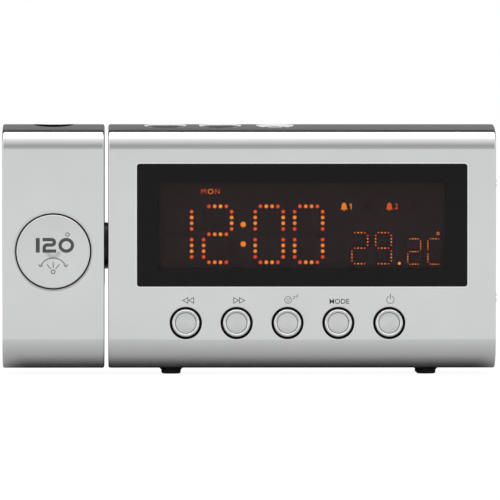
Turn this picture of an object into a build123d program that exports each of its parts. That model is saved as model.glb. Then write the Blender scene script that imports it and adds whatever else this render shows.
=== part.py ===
"""Projection alarm clock: a long crowned body with a swivelling projector module on its left end.

Frame: X to the right, Y to the back, Z up, millimetres. The origin is on the table under the middle
of the whole clock. "Depth" means the distance behind the flat front face of both modules.
"""

from build123d import *
from math import asin, cos, degrees, pi, radians, sin, sqrt
import os

# ---- Both modules: side profile and shells ----
body_length = 157.1
projector_length = 41.3
swivel_gap = 1.6
body_depth = 48.0
body_height = 99.0
crown_radius = 70.0
shoulder_radius = 8.0
toe_radius = 12.0
end_edge_radius = 0.8
wall = 2.2
least_corner = 0.5
overcut = 1.0
parting_margin = 0.1
lip_height = 1.5
lip_clearance = 0.1
foot_reach = 2.5

# ---- Display window ----
window_length = 134.0
window_height = 49.9
window_rise = 33.2
window_corner = 1.2
window_recess = 0.4
window_thickness = 1.6
window_clearance = 0.08
window_frame_border = 3.0
window_frame_thickness = 2.0
display_length = 118.0
display_height = 37.5
display_gap = 0.3
display_clearance = 0.5
display_corner = 0.5
light_box_border = 2.5
light_box_depth = 8.6
light_box_wall = 1.6
light_box_corner = 1.0
light_box_rib_gap = 2.0
light_box_cells = 4
backlight_lamp_length = 3.2
backlight_lamp_width = 2.8
backlight_lamp_height = 1.2

# ---- Front keys ----
key_hole_radius = 6.2
key_hole_chamfer = 0.6
key_hole_chamfer_depth = 0.3
key_clearance = 0.6
key_start = 31.4
key_pitch = 20.6
key_rise = 18.5
key_proud = 0.5
key_travel = 0.8
key_flange_width = 1.4
key_flange_thickness = 1.2
key_flange_gap = 0.3
key_stem_radius = 2.6
key_rim_width = 0.8
key_rim_drop = 0.8
key_rim_bulge = 0.23
key_dish_inset = 1.3
key_dish_floor = 0.6
key_dish_edge = 0.25
key_bead_start = 0.1
key_bead_rise = 0.28
key_bead_width = 0.25

# ---- Top keys ----
top_key_start = 23.2
top_key_pitch = 22.3
top_key_depth = 16.5
dish_radius = 8.7
dish_sag = 1.6
top_key_radius = 5.2
top_key_clearance = 0.3
top_key_sink = 0.35
snooze_dish_radius = 7.8
snooze_key_radius = 3.6
top_boss_radius = 9.6
top_boss_thickness = 4.2
top_key_crown = 0.35
snooze_key_crown = 0.9
top_stem_length = 2.4
top_board_margin = 7.0
top_board_width = 13.0

# ---- Push switches ----
switch_size = 6.0
switch_height = 3.5
plunger_radius = 1.75
plunger_height = 1.0
plunger_gap = 0.05

# ---- Projection key ----
disc_hole_radius = 15.2
disc_clearance = 0.3
disc_rise = 47.5
disc_proud = 0.5
disc_hole_chamfer = 1.2
disc_hole_chamfer_depth = 0.65
disc_wall = 1.6
disc_corner = 0.5
disc_crown = 0.3
disc_corner_bulge = 0.15
disc_stem_length = 0.6

# ---- Thumbwheels on the right end ----
wheel_reach = 1.8
wheel_thickness = 4.0
wheel_clearance = 0.5
volume_wheel_radius = 8.0
volume_wheel_drop = 24.1
tuning_wheel_radius = 14.7
tuning_wheel_rise = 28.1
wheel_groove_radius = 0.5
wheel_groove_spacing = 3.0
wheel_web = 2.6
wheel_rim = 2.0
wheel_hub_wall = 1.4
wheel_hub_sink = 0.4
wheel_end_play = 0.1
spindle_radius = 2.0
volume_control_size = 7.6
tuning_control_size = 15.0
control_height = 5.0
control_floor = 1.0
tuner_board_gap = 7.2
tuner_board_length = 25.0
tuner_board_inset = 5.0
tuner_board_margin = 3.0
header_length = 14.0
header_height = 5.0
header_rise = 50.0
header_inset = 14.0

# ---- Swivel ----
hub_radius = 9.45
neck_radius = 7.5
hub_bore_radius = 5.0
hub_flange_radius = 13.0
hub_flange_thickness = 2.0
bearing_length = 4.0
bearing_boss_radius = 9.9
running_clearance = 0.05
swivel_clearance = 0.15
washer_thickness = 0.5
clip_thickness = 1.2
clip_grip = 0.8
clip_opening = 60.0
clip_width = 1.6
swivel_play = 0.05
neck_tip = 1.0
hub_screw_radius = 0.8
hub_screw_head_radius = 1.4
hub_screw_head_height = 1.0
hub_screw_skin = 0.7
hub_screw_count = 3
swivel_back = 90.0
swivel_forward = 30.0
stop_width = 20.0
stop_height = 1.5
stop_depth = 1.7
stop_clearance = 0.5

# ---- Projector optics ----
lens_depth = 20.8
lens_dish_radius = 7.8
lens_dish_sag = 1.9
focus_ring_radius = 5.6
focus_ring_clearance = 0.3
focus_ring_sink = 0.5
focus_flange_radius = 7.4
focus_flange_thickness = 1.4
barrel_radius = 4.5
barrel_height = 12.0
barrel_sink = 0.7
barrel_wall = 0.9
barrel_key_reach = 0.9
barrel_key_width = 1.6
barrel_key_height = 4.0
barrel_key_clearance = 0.1
lens_seat_depth = 3.4
lens_seat_thickness = 1.0
lens_stop_radius = 2.9
lens_edge = 1.4
lens_bulge = 0.9
condenser_bulge = 2.4
focus_ring_edge = 0.4
focus_notch_size = 0.7
focus_notch_depth = 0.8
focus_notches = 12
lens_boss_width = 1.0
focus_travel = 2.0
optic_frame_size = 16.2
optic_frame_wall = 1.6
optic_frame_drop = 2.35
optic_frame_height = 29.0
optic_neck_radius = 7.2
optic_neck_gap = 0.15
optic_clearance = 0.1
optic_ear_reach = 7.0
optic_ear_width = 10.0
optic_ledge_thickness = 1.0
optic_ledge_width = 1.2
condenser_rise = 10.0
slide_rise = 15.0
slide_thickness = 1.2
lamp_radius = 2.5
lamp_height = 5.0
lamp_flange_radius = 3.0
lamp_flange_height = 1.0
lamp_dome_radius = 2.2
lamp_board_width = 17.0
lamp_board_gap = 0.3
lamp_board_overhang = 0.2
shelf_thickness = 4.0
shelf_reach = 6.5
shelf_width = 14.0
ear_screw_inset = 4.0

# ---- Boards ----
board_thickness = 1.6
board_post_radius = 2.5
board_screw_radius = 1.0
board_screw_length = 6.0
board_screw_grip = 5.0
board_screw_head_radius = 2.0
board_screw_head_height = 1.2
main_board_side_inset = 11.0
main_board_rise = 9.0
main_board_gap = 3.4
board_post_side_inset = 2.3
board_post_low_inset = 3.5
board_post_high_inset = 4.5
switch_board_width = 24.0
switch_board_height = 45.0
switch_post_spread = 16.0
switch_post_reach = 19.5
switch_board_corner = 1.0
socket_inset = 16.0
socket_width = 6.0
socket_height = 8.0
socket_overlap = 3.0
plug_length = 5.0
plug_width = 6.0
plug_gap = 0.6
plug_overlap = 2.6
lead_radius = 1.6
lead_end_gap = 0.3

# ---- Casing screws ----
screw_radius = 1.3
screw_head_radius = 2.5
screw_head_height = 1.6
screw_grip = 9.0
screw_fit = 0.03
screw_slack = 0.2
screw_head_slack = 0.4
screw_tip_gap = 1.0
post_radius = 3.0
tube_radius = 3.7
tube_floor = 2.0
boss_inset = 7.0
boss_low_rise = 9.0
boss_high_drop = 12.0
boss_joint_depth = 2.0

# ---- Battery bay, inlet and speaker in the rear shell ----
bay_length = 50.0
bay_height = 23.0
bay_depth = 11.0
bay_wall = 1.2
bay_start = 26.0
bay_rise = 16.0
cover_thickness = 1.4
cover_clearance = 0.15
cover_ledge = 1.5
cover_hook_width = 6.0
cover_hook_reach = 1.2
cover_hook_thickness = 1.0
cover_hook_overlap = 1.2
cover_hook_room = 0.4
cover_hook_swing = 1.4
cover_hook_gap = 0.2
cover_grip_radius = 9.2
cover_grip_rise = 8.6
cover_grip_length = 12.0
cover_grip_inset = 5.5
cell_rib_inset = 12.0
cell_rib_height = 1.5
cell_rib_thickness = 1.2
contact_thickness = 0.5
contact_height = 8.5
contact_width = 7.2
contact_spring_length = 3.0
contact_spring_base = 2.8
contact_spring_tip = 1.6
contact_spring_rise = 5.2
speaker_radius = 18.0
speaker_start = 51.0
speaker_lowering = 3.0
grille_radius = 15.0
grille_slot_width = 1.8
grille_pitch = 3.6
speaker_seat_height = 4.0
speaker_seat_wall = 1.5
speaker_seat_clearance = 0.1
speaker_rim_thickness = 1.0
speaker_rim_width = 2.5
speaker_depth = 6.0
speaker_cup_radius = 10.0
speaker_neck_radius = 8.5
speaker_mouth_inset = 3.2
cap_radius = 6.0
cap_top = 2.2
cap_edge = 3.8
cone_thickness = 0.6
cone_edge_inset = 3.9
cone_edge_width = 0.4
cone_edge_drop = 0.2
magnet_radius = 8.0
magnet_length = 5.0
inlet_start = 112.0
inlet_rise = 20.0
inlet_hole_radius = 4.2
inlet_bore_radius = 2.9
inlet_pin_radius = 1.0
inlet_size = 9.5
inlet_length = 11.0
inlet_collar = 1.2
inlet_floor = 1.5
inlet_clearance = 0.1

# ---- Feet ----
foot_radius = 3.95
foot_flange_radius = 4.9
foot_flange_thickness = 1.0
foot_recess = 0.6
foot_edge_radius = 0.8
foot_flare = 1.0
foot_left_inset = 25.5
foot_right_inset = 27.8
foot_front_depth = 17.2
foot_rear_depth = 30.8

# ---- Places worked out from the sizes above ----
overall_length = projector_length + swivel_gap + body_length + wheel_reach
left_end = -overall_length / 2
projector_right = left_end + projector_length
projector_middle = left_end + projector_length / 2
body_left = projector_right + swivel_gap
body_right = body_left + body_length
body_middle = (body_left + body_right) / 2
front_reach = max(disc_proud, key_proud)
front_y = -(body_depth - front_reach) / 2
middle_y = front_y + body_depth / 2
back_y = front_y + body_depth
body_base = foot_reach
body_top = body_base + body_height
hub_z = body_base + body_height / 2
hub_depth = body_depth / 2
parting_depth = hub_depth + bearing_boss_radius + parting_margin
boss_end = parting_depth - boss_joint_depth
window_z = body_base + window_rise + window_height / 2
key_z = body_base + key_rise
disc_z = body_base + disc_rise
lens_y = front_y + lens_depth
key_radius = key_hole_radius - key_clearance
disc_radius = disc_hole_radius - disc_clearance
key_xs = [body_left + key_start + n * key_pitch for n in range(5)]
top_key_xs = [body_left + top_key_start + n * top_key_pitch for n in range(3)]
boss_zs = [body_base + boss_low_rise, body_top - boss_high_drop]
body_boss_xs = [body_left + boss_inset, body_right - boss_inset]
projector_boss_xs = [left_end + boss_inset, projector_right - boss_inset]
light_box_front = wall + window_frame_thickness
main_board_front = light_box_front + light_box_depth
key_stem_end = main_board_front - switch_height - plunger_height - plunger_gap - key_travel

parts = {}


# ---- Helpers ----
def crown_z(depth, sink=0.0):
    """Height of the crowned top at a depth behind the front, lowered square to it by sink."""
    radius = crown_radius - sink
    return body_top - crown_radius + sqrt(radius**2 - (depth - body_depth / 2) ** 2)


def span(x, depth, z):
    """Box between two X values, two depths and two heights."""
    middle = Pos(sum(x) / 2, front_y + sum(depth) / 2, sum(z) / 2)
    return middle * Box(x[1] - x[0], depth[1] - depth[0], z[1] - z[0])


def rod_y(x, z, depth, radius):
    """Round bar along Y between two depths."""
    return Pos(x, front_y + sum(depth) / 2, z) * Rot(X=90) * Cylinder(radius, depth[1] - depth[0])


def rod_x(x, depth, z, radius):
    """Round bar along X between two X values."""
    return Pos(sum(x) / 2, front_y + depth, z) * Rot(Y=90) * Cylinder(radius, x[1] - x[0])


def rod_z(x, depth, z, radius):
    """Upright round bar between two heights."""
    return Pos(x, front_y + depth, sum(z) / 2) * Cylinder(radius, z[1] - z[0])


def ring_x(x, depth, z, outer, inner):
    """Ring along X between two X values."""
    return rod_x(x, depth, z, outer) - rod_x(x, depth, z, inner)


def plate(x, z, size, corner, depth):
    """Upright plate with rounded corners between two depths."""
    plane = Plane(origin=(x, front_y + depth[1], z), x_dir=(1, 0, 0), z_dir=(0, -1, 0))
    return extrude(plane * RectangleRounded(size[0], size[1], corner), depth[1] - depth[0])


def turned(line):
    """Solid of revolution about local Z from an outline in local X (radius) and Z (height)."""
    return revolve(make_face(Plane.XZ * line), Axis.Z)


def cap_arc(radius, top, edge):
    """Arc from the axis at one height to a radius at another, part of a circle centred on the axis."""
    rise = top - edge
    ball = (radius**2 + rise**2) / (2 * abs(rise))
    half_angle = asin(radius / ball) / 2
    sign = 1 if rise > 0 else -1
    middle = (ball * sin(half_angle), top - sign * ball * (1 - cos(half_angle)))
    return ThreePointArc((0, top), middle, (radius, edge))


def facing_front(x, z, solid):
    """Puts a turned piece on the front face: its local Z points forward, its zero is the face."""
    return Pos(x, front_y, z) * Rot(X=90) * solid


def section(inset=0.0):
    """Side profile of both modules: flat front and back, crowned top, rounded shoulders and toes."""
    half = body_depth / 2 - inset
    shoulder = crown_z(half + body_depth / 2, inset)
    crown = body_top - inset
    base = body_base + inset
    front, back = middle_y - half, middle_y + half
    sides = Polyline((front, shoulder), (front, base), (back, base), (back, shoulder))
    top = ThreePointArc((back, shoulder), (middle_y, crown), (front, shoulder))
    face = make_face(sides + top)
    face = fillet(face.vertices().group_by(Axis.Y)[0], max(toe_radius - inset, least_corner))
    return fillet(face.vertices().group_by(Axis.Y)[-1], max(shoulder_radius - inset, least_corner))


def block(start, length, inset):
    """The space inside a module, inset by the same amount on every side."""
    return extrude(Plane.YZ.offset(start + inset) * section(inset), length - 2 * inset)


def shells(start, length):
    """Front and rear shell of a module, met by a lip and a rebate half the wall thick."""
    outer = block(start, length, 0.0)
    ends = outer.faces().sort_by(Axis.X)
    outer = fillet(ends[0].edges() + ends[-1].edges(), end_edge_radius)
    inner = block(start, length, wall)
    hollow = outer - inner
    x = (start - overcut, start + length + overcut)
    z = (0, body_top + overcut)
    lip_zone = span(x, (parting_depth - lip_height, parting_depth), z)
    rebate_zone = span(x, (parting_depth - lip_height - lip_clearance, parting_depth), z)
    rebate = block(start, length, wall / 2 - lip_clearance) & rebate_zone
    front = (hollow & span(x, (-overcut, parting_depth), z)) - rebate
    lip = (block(start, length, wall / 2) - inner) & lip_zone
    rear = (hollow & span(x, (parting_depth, body_depth + overcut), z)) + lip
    return front, rear


def with_posts(shell, xs, inside):
    """Front shell with its screw posts, from the front wall to the joint with the rear tubes."""
    for x in xs:
        for z in boss_zs:
            shell += rod_y(x, z, (0, boss_end), post_radius) & inside
            bore = (boss_end - screw_grip - screw_tip_gap, boss_end + overcut)
            shell -= rod_y(x, z, bore, screw_radius + screw_fit)
    return shell


def with_tubes(shell, xs, inside):
    """Rear shell with its screw tubes, which reach the front posts, and the wells through them."""
    for x in xs:
        for z in boss_zs:
            shell += rod_y(x, z, (boss_end, body_depth), tube_radius) & inside
            well = (boss_end + tube_floor, body_depth + overcut)
            shell -= rod_y(x, z, well, screw_head_radius + screw_head_slack)
            shell -= rod_y(x, z, (boss_end - overcut, well[0] + overcut), screw_radius + screw_slack)
    return shell


def casing_screws(xs):
    """Screws that hold a rear shell, head on the floor of each tube."""
    screws = []
    for x in xs:
        for z in boss_zs:
            seat = boss_end + tube_floor
            screw = rod_y(x, z, (seat, seat + screw_head_height), screw_head_radius)
            screws.append(screw + rod_y(x, z, (seat - tube_floor - screw_grip, seat), screw_radius))
    return Compound(children=screws)


def push_switch():
    """Push switch in a local frame: its board is at zero and its plunger points along local Z."""
    body = Pos(0, 0, switch_height / 2) * Box(switch_size, switch_size, switch_height)
    plunger = Pos(0, 0, switch_height + plunger_height / 2) * Cylinder(plunger_radius, plunger_height)
    return body + plunger


def board_screw():
    """Small screw in a local frame: under its head is zero and its shank points down local Z."""
    head = Pos(0, 0, board_screw_head_height / 2) * Cylinder(board_screw_head_radius, board_screw_head_height)
    return head + Pos(0, 0, -board_screw_length / 2) * Cylinder(board_screw_radius, board_screw_length)


# ---- Shells of the two modules ----
front_casing, rear_casing = shells(body_left, body_length)
projector_front, projector_rear = shells(left_end, projector_length)
body_skin = block(body_left, body_length, wall / 2)
projector_skin = block(left_end, projector_length, wall / 2)
front_casing = with_posts(front_casing, body_boss_xs, body_skin)
rear_casing = with_tubes(rear_casing, body_boss_xs, body_skin)
projector_front = with_posts(projector_front, projector_boss_xs, projector_skin)
projector_rear = with_tubes(projector_rear, projector_boss_xs, projector_skin)
parts["rear_casing_screws"] = casing_screws(body_boss_xs)
parts["projector_casing_screws"] = casing_screws(projector_boss_xs)


# ---- Display: window, dot panel, light box ----
top_tilt = degrees(asin((body_depth / 2 - top_key_depth) / crown_radius))
top_flange_top = -top_boss_thickness - key_flange_gap
top_stem_end = top_flange_top - key_flange_thickness - top_stem_length
top_board_top = top_stem_end - key_travel - plunger_gap - plunger_height - switch_height
board_x = (body_left + main_board_side_inset, body_right - main_board_side_inset)
top_board_under = crown_z(top_key_depth) + top_board_top - board_thickness
board_z = (body_base + main_board_rise, top_board_under - main_board_gap)
board_back = main_board_front + board_thickness
board_post_xs = [board_x[0] + board_post_side_inset, board_x[1] - board_post_side_inset]
board_post_zs = [board_z[0] + board_post_low_inset, board_z[1] - board_post_high_inset]
screw_bore_radius = board_screw_radius + screw_fit
screw_pass_radius = board_screw_radius + screw_slack

frame_size = (window_length + 2 * window_frame_border, window_height + 2 * window_frame_border)
opening_size = (display_length + 2 * display_clearance, display_height + 2 * display_clearance)
window_seat = window_recess + window_thickness
front_casing += plate(body_middle, window_z, frame_size, window_corner, (wall / 2, light_box_front))
for x in board_post_xs:
    for z in board_post_zs:
        front_casing += rod_y(x, z, (wall / 2, main_board_front), board_post_radius)
        bore = (main_board_front - board_screw_grip, main_board_front + overcut)
        front_casing -= rod_y(x, z, bore, screw_bore_radius)
seat_size = (window_length, window_height)
front_casing -= plate(body_middle, window_z, seat_size, window_corner, (-overcut, window_seat))
front_casing -= plate(body_middle, window_z, opening_size, window_corner, (0, light_box_front + overcut))

window_size = (window_length - 2 * window_clearance, window_height - 2 * window_clearance)
parts["display_window"] = plate(
    body_middle, window_z, window_size, window_corner - window_clearance, (window_recess, window_seat)
)
panel_size = (display_length, display_height)
panel_depth = (window_seat + display_gap, light_box_front)
parts["display_panel"] = plate(body_middle, window_z, panel_size, display_corner, panel_depth)

light_box_size = (opening_size[0] + 2 * light_box_border, opening_size[1] + 2 * light_box_border)
cavity_size = (display_length - 2 * light_box_wall, display_height - 2 * light_box_wall)
light_box_depths = (light_box_front, main_board_front)
cavity_depths = (light_box_front - overcut, main_board_front + overcut)
light_box = plate(body_middle, window_z, light_box_size, light_box_corner, light_box_depths)
light_box -= plate(body_middle, window_z, cavity_size, light_box_corner, cavity_depths)
cell_length = cavity_size[0] / light_box_cells
for n in range(1, light_box_cells):
    x = body_middle - cavity_size[0] / 2 + n * cell_length
    rib = (x - light_box_wall / 2, x + light_box_wall / 2)
    z = (window_z - cavity_size[1] / 2, window_z + cavity_size[1] / 2)
    light_box += span(rib, (light_box_front + light_box_rib_gap, main_board_front), z)
parts["light_box"] = light_box

lamps = []
for column in range(light_box_cells):
    for row in (-1, 1):
        x = body_middle - cavity_size[0] / 2 + (column + 0.5) * cell_length
        z = window_z + row * cavity_size[1] / 4
        lamp_x = (x - backlight_lamp_length / 2, x + backlight_lamp_length / 2)
        lamp_z = (z - backlight_lamp_width / 2, z + backlight_lamp_width / 2)
        lamps.append(span(lamp_x, (main_board_front - backlight_lamp_height, main_board_front), lamp_z))
parts["backlight_lamps"] = Compound(children=lamps)


# ---- Main board, its posts and its switches ----
main_board = span(board_x, (main_board_front, board_back), board_z)
screws = []
for x in board_post_xs:
    for z in board_post_zs:
        main_board -= rod_y(x, z, (main_board_front - overcut, board_back + overcut), screw_pass_radius)
        screws.append(Pos(x, front_y + board_back, z) * Rot(X=-90) * board_screw())
parts["main_board"] = main_board

switches = [facing_front(x, key_z, Pos(0, 0, -main_board_front) * push_switch()) for x in key_xs]
parts["front_key_switches"] = Compound(children=switches)


# ---- Front keys ----
def front_key():
    """Round key with a rolled rim and a dished face, a retaining flange and a stem."""
    rim = key_radius - key_rim_width
    dish = key_radius - key_dish_inset
    side = key_proud - key_rim_drop
    flange_top = -wall - key_flange_gap
    flange_end = flange_top - key_flange_thickness
    skirt = -key_stem_end
    bead = (dish + key_bead_width, key_bead_start + key_bead_rise)
    turn = (key_radius - key_rim_bulge, key_proud - key_rim_bulge)
    line = cap_arc(dish, -key_dish_floor, -key_dish_edge)
    line += Polyline((dish, -key_dish_edge), (dish, key_bead_start))
    line += ThreePointArc((dish, key_bead_start), bead, (rim, key_proud))
    line += ThreePointArc((rim, key_proud), turn, (key_radius, side))
    line += Polyline(
        (key_radius, side),
        (key_radius, flange_top),
        (key_radius + key_flange_width, flange_top),
        (key_radius + key_flange_width, flange_end),
        (key_stem_radius, flange_end),
        (key_stem_radius, skirt),
        (0, skirt),
        (0, -key_dish_floor),
    )
    return turned(line)


def hole_chamfer(radius, width, depth):
    """Cone that takes the edge off a round hole, from its width at the face down to nothing at its depth."""
    reach = radius + width + overcut * width / depth
    return turned(Polyline((0, overcut), (reach, overcut), (radius, -depth), (0, -depth), close=True))


key_shape = front_key()
key_chamfer = hole_chamfer(key_hole_radius, key_hole_chamfer, key_hole_chamfer_depth)
for name, x in zip(("back_key", "forward_key", "sleep_key", "mode_key", "power_key"), key_xs):
    front_casing -= rod_y(x, key_z, (-overcut, light_box_front + overcut), key_hole_radius)
    front_casing -= facing_front(x, key_z, key_chamfer)
    parts[name] = facing_front(x, key_z, key_shape)


# ---- Top keys in dished recesses, square to the crowned top ----
def on_crown(x, solid):
    """Puts a turned piece on the crowned top: its local Z is square to it, its zero is the surface."""
    place = Pos(x, front_y + top_key_depth, crown_z(top_key_depth))
    return place * Rot(X=top_tilt) * solid


def dish_cut(radius, sag):
    """Ball that cuts a shallow dish of a given rim radius and depth."""
    ball = (radius**2 + sag**2) / (2 * sag)
    return Pos(0, 0, ball - sag) * Sphere(ball)


def top_key(radius, crown):
    """Round key with a softly domed head, standing in its dish."""
    top = -top_key_sink
    edge = top - crown
    flange = radius + key_flange_width
    line = cap_arc(radius, top, edge)
    line += Polyline(
        (radius, edge),
        (radius, top_flange_top),
        (flange, top_flange_top),
        (flange, top_flange_top - key_flange_thickness),
        (key_stem_radius, top_flange_top - key_flange_thickness),
        (key_stem_radius, top_stem_end),
        (0, top_stem_end),
        (0, top),
    )
    return turned(line)


top_key_sizes = {
    "first_alarm_key": (dish_radius, top_key_radius, top_key_crown),
    "second_alarm_key": (dish_radius, top_key_radius, top_key_crown),
    "snooze_key": (snooze_dish_radius, snooze_key_radius, snooze_key_crown),
}
for x in top_key_xs:
    boss = on_crown(x, Pos(0, 0, -top_boss_thickness / 2) * Cylinder(top_boss_radius, top_boss_thickness))
    front_casing += boss & body_skin
for (name, (dish, radius, crown)), x in zip(top_key_sizes.items(), top_key_xs):
    front_casing -= on_crown(x, dish_cut(dish, dish_sag))
    front_casing -= on_crown(x, Cylinder(radius + top_key_clearance, 4 * top_boss_thickness))
    parts[name] = on_crown(x, top_key(radius, crown))

post_xs = [(a + b) / 2 for a, b in zip(top_key_xs, top_key_xs[1:])]
post_height = -top_board_top - wall / 2
for x in post_xs:
    post = Pos(0, 0, top_board_top + post_height / 2) * Cylinder(board_post_radius, post_height)
    bore = Pos(0, 0, top_board_top) * Cylinder(screw_bore_radius, 2 * board_screw_grip)
    front_casing += on_crown(x, post)
    front_casing -= on_crown(x, bore)

board_length = top_key_xs[-1] - top_key_xs[0] + 2 * top_board_margin
board_middle = (top_key_xs[0] + top_key_xs[-1]) / 2
board_blank = Box(board_length, top_board_width, board_thickness)
top_board = on_crown(board_middle, Pos(0, 0, top_board_top - board_thickness / 2) * board_blank)
for x in post_xs:
    top_board -= on_crown(x, Pos(0, 0, top_board_top) * Cylinder(screw_pass_radius, 4 * board_thickness))
    under = Pos(0, 0, top_board_top - board_thickness) * Rot(X=180)
    screws.append(on_crown(x, under * board_screw()))
parts["top_key_board"] = top_board
parts["board_screws"] = Compound(children=screws)
switches = [on_crown(x, Pos(0, 0, top_board_top) * push_switch()) for x in top_key_xs]
parts["top_key_switches"] = Compound(children=switches)


# ---- Thumbwheels, their spindles and the board behind them ----
wheel_depth = parting_depth
wheel_faces = (wheel_depth - wheel_thickness / 2, wheel_depth + wheel_thickness / 2)
tuner_board_front = wheel_faces[0] - tuner_board_gap
tuner_board_back = tuner_board_front + board_thickness
wheel_sizes = {
    "volume": (volume_wheel_radius, body_top - volume_wheel_drop, volume_control_size),
    "tuning": (tuning_wheel_radius, body_base + tuning_wheel_rise, tuning_control_size),
}


def thumbwheel(x, z, radius):
    """Wheel with a grooved rim, one side dished out, and a hole for its spindle."""
    wheel = rod_y(x, z, wheel_faces, radius)
    through = (wheel_faces[0] - overcut, wheel_faces[1] + overcut)
    wheel -= rod_y(x, z, (wheel_faces[0] + wheel_web, through[1]), radius - wheel_rim)
    wheel += rod_y(x, z, (wheel_faces[0], wheel_faces[1] - wheel_hub_sink), spindle_radius + wheel_hub_wall)
    wheel -= rod_y(x, z, through, spindle_radius)
    grooves = round(2 * pi * radius / wheel_groove_spacing)
    for n in range(grooves):
        angle = 2 * pi * n / grooves
        groove = (x + radius * cos(angle), z + radius * sin(angle))
        wheel -= rod_y(groove[0], groove[1], through, wheel_groove_radius)
    return wheel


tuner_x = (body_right - tuner_board_inset - tuner_board_length, body_right - tuner_board_inset)
tuner_z = (
    body_base + tuning_wheel_rise - tuning_control_size / 2 - tuner_board_margin,
    body_top - volume_wheel_drop + volume_control_size / 2 + tuner_board_margin,
)
parts["tuner_board"] = span(tuner_x, (tuner_board_front, tuner_board_back), tuner_z)
header_x = (body_right - header_inset - header_length, body_right - header_inset)
header_z = (body_base + header_rise, body_base + header_rise + header_height)
parts["board_header"] = span(header_x, (board_back, tuner_board_front), header_z)

for name, (radius, z, size) in wheel_sizes.items():
    x = body_right + wheel_reach - radius
    slot = (wheel_faces[0] - wheel_clearance, wheel_faces[1] + wheel_clearance)
    recess = rod_y(x, z, slot, radius + wheel_clearance)
    front_casing -= recess
    rear_casing -= recess
    parts[name + "_wheel"] = thumbwheel(x, z, radius)
    control_depths = (tuner_board_back, tuner_board_back + control_height)
    socket = (control_depths[0] + control_floor, control_depths[1] + overcut)
    control = span((x - size / 2, x + size / 2), control_depths, (z - size / 2, z + size / 2))
    control -= rod_y(x, z, socket, spindle_radius + running_clearance)
    parts[name + "_control"] = control
    spindle_depths = (socket[0] + wheel_end_play, wheel_faces[1] - wheel_hub_sink)
    parts[name + "_spindle"] = rod_y(x, z, spindle_depths, spindle_radius)


# ---- Swivel: bearing in the body, hub on the projector ----
bearing_x = (body_left, body_left + bearing_length)
front_casing += rod_x((body_left + wall, bearing_x[1]), hub_depth, hub_z, bearing_boss_radius)
bearing_bore = (body_left - overcut, bearing_x[1] + overcut)
front_casing -= rod_x(bearing_bore, hub_depth, hub_z, neck_radius + running_clearance)


def sector(x, outer, start, sweep):
    """Pie slice about the swivel axis, angles counted from the back towards the top."""
    rim = outer / cos(radians(sweep / 6))
    angles = [radians(start + n * sweep / 3) for n in range(4)]
    corners = [(middle_y, hub_z)] + [(middle_y + 2 * rim * cos(a), hub_z + 2 * rim * sin(a)) for a in angles]
    slice_shape = extrude(Plane.YZ.offset(x[0]) * make_face(Polyline(*corners, close=True)), x[1] - x[0])
    return slice_shape & rod_x(x, hub_depth, hub_z, outer)


stop_middle = 90.0 + (swivel_back - swivel_forward) / 2
stop_outer = neck_radius + stop_height
notch_start = stop_middle - swivel_back - stop_width / 2 - stop_clearance
notch_sweep = swivel_back + swivel_forward + stop_width + 2 * stop_clearance
notch_x = (body_left - overcut, body_left + stop_depth + swivel_clearance)
front_casing -= sector(notch_x, stop_outer + swivel_clearance, notch_start, notch_sweep)

collar_end = body_left - swivel_clearance
neck_start = bearing_x[1] + 2 * swivel_play
clip_start = neck_start + washer_thickness + swivel_play
neck_end = clip_start + clip_thickness + 2 * swivel_play + neck_tip
flange_x = (projector_right - wall - hub_flange_thickness, projector_right - wall)
hub = rod_x(flange_x, hub_depth, hub_z, hub_flange_radius)
hub += rod_x((flange_x[0], collar_end), hub_depth, hub_z, hub_radius)
hub += rod_x((flange_x[0], neck_end), hub_depth, hub_z, neck_radius)
stop_start = stop_middle - stop_width / 2
hub += sector((collar_end - overcut, body_left + stop_depth), stop_outer, stop_start, stop_width)
groove = (clip_start - swivel_play, clip_start + clip_thickness + swivel_play)
hub -= ring_x(groove, hub_depth, hub_z, neck_radius + overcut, neck_radius - clip_grip)
hub -= rod_x((flange_x[0] - overcut, neck_end + overcut), hub_depth, hub_z, hub_bore_radius)

hole_x = (flange_x[1] - overcut, projector_right + overcut)
hub_hole = rod_x(hole_x, hub_depth, hub_z, hub_radius + running_clearance)
projector_front -= hub_hole
projector_rear -= hub_hole

hub_screws = []
hub_screw_tip = projector_right - hub_screw_skin
hub_screw_ring = (hub_radius + hub_flange_radius) / 2
for n in range(hub_screw_count):
    angle = (2 * n + 1) * pi / hub_screw_count
    y = hub_depth + hub_screw_ring * cos(angle)
    z = hub_z + hub_screw_ring * sin(angle)
    hub -= rod_x((flange_x[0] - overcut, flange_x[1] + overcut), y, z, hub_screw_radius + swivel_play)
    projector_front -= rod_x((flange_x[1] - overcut, hub_screw_tip + swivel_play), y, z, hub_screw_radius)
    head = rod_x((flange_x[0] - hub_screw_head_height, flange_x[0]), y, z, hub_screw_head_radius)
    hub_screws.append(head + rod_x((flange_x[0], hub_screw_tip), y, z, hub_screw_radius - screw_fit))
parts["swivel_hub"] = hub
parts["hub_screws"] = Compound(children=hub_screws)
washer_x = (neck_start, neck_start + washer_thickness)
washer_radii = (bearing_boss_radius - swivel_clearance, neck_radius + 2 * swivel_play)
parts["friction_washer"] = ring_x(washer_x, hub_depth, hub_z, *washer_radii)
clip_radii = (neck_radius + clip_width, neck_radius - clip_grip + swivel_play)
clip_cut_x = (clip_start - overcut, clip_start + clip_thickness + overcut)
clip = ring_x((clip_start, clip_start + clip_thickness), hub_depth, hub_z, *clip_radii)
clip -= sector(clip_cut_x, clip_radii[0] + overcut, -90 - clip_opening / 2, clip_opening)
parts["hub_clip"] = clip


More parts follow.
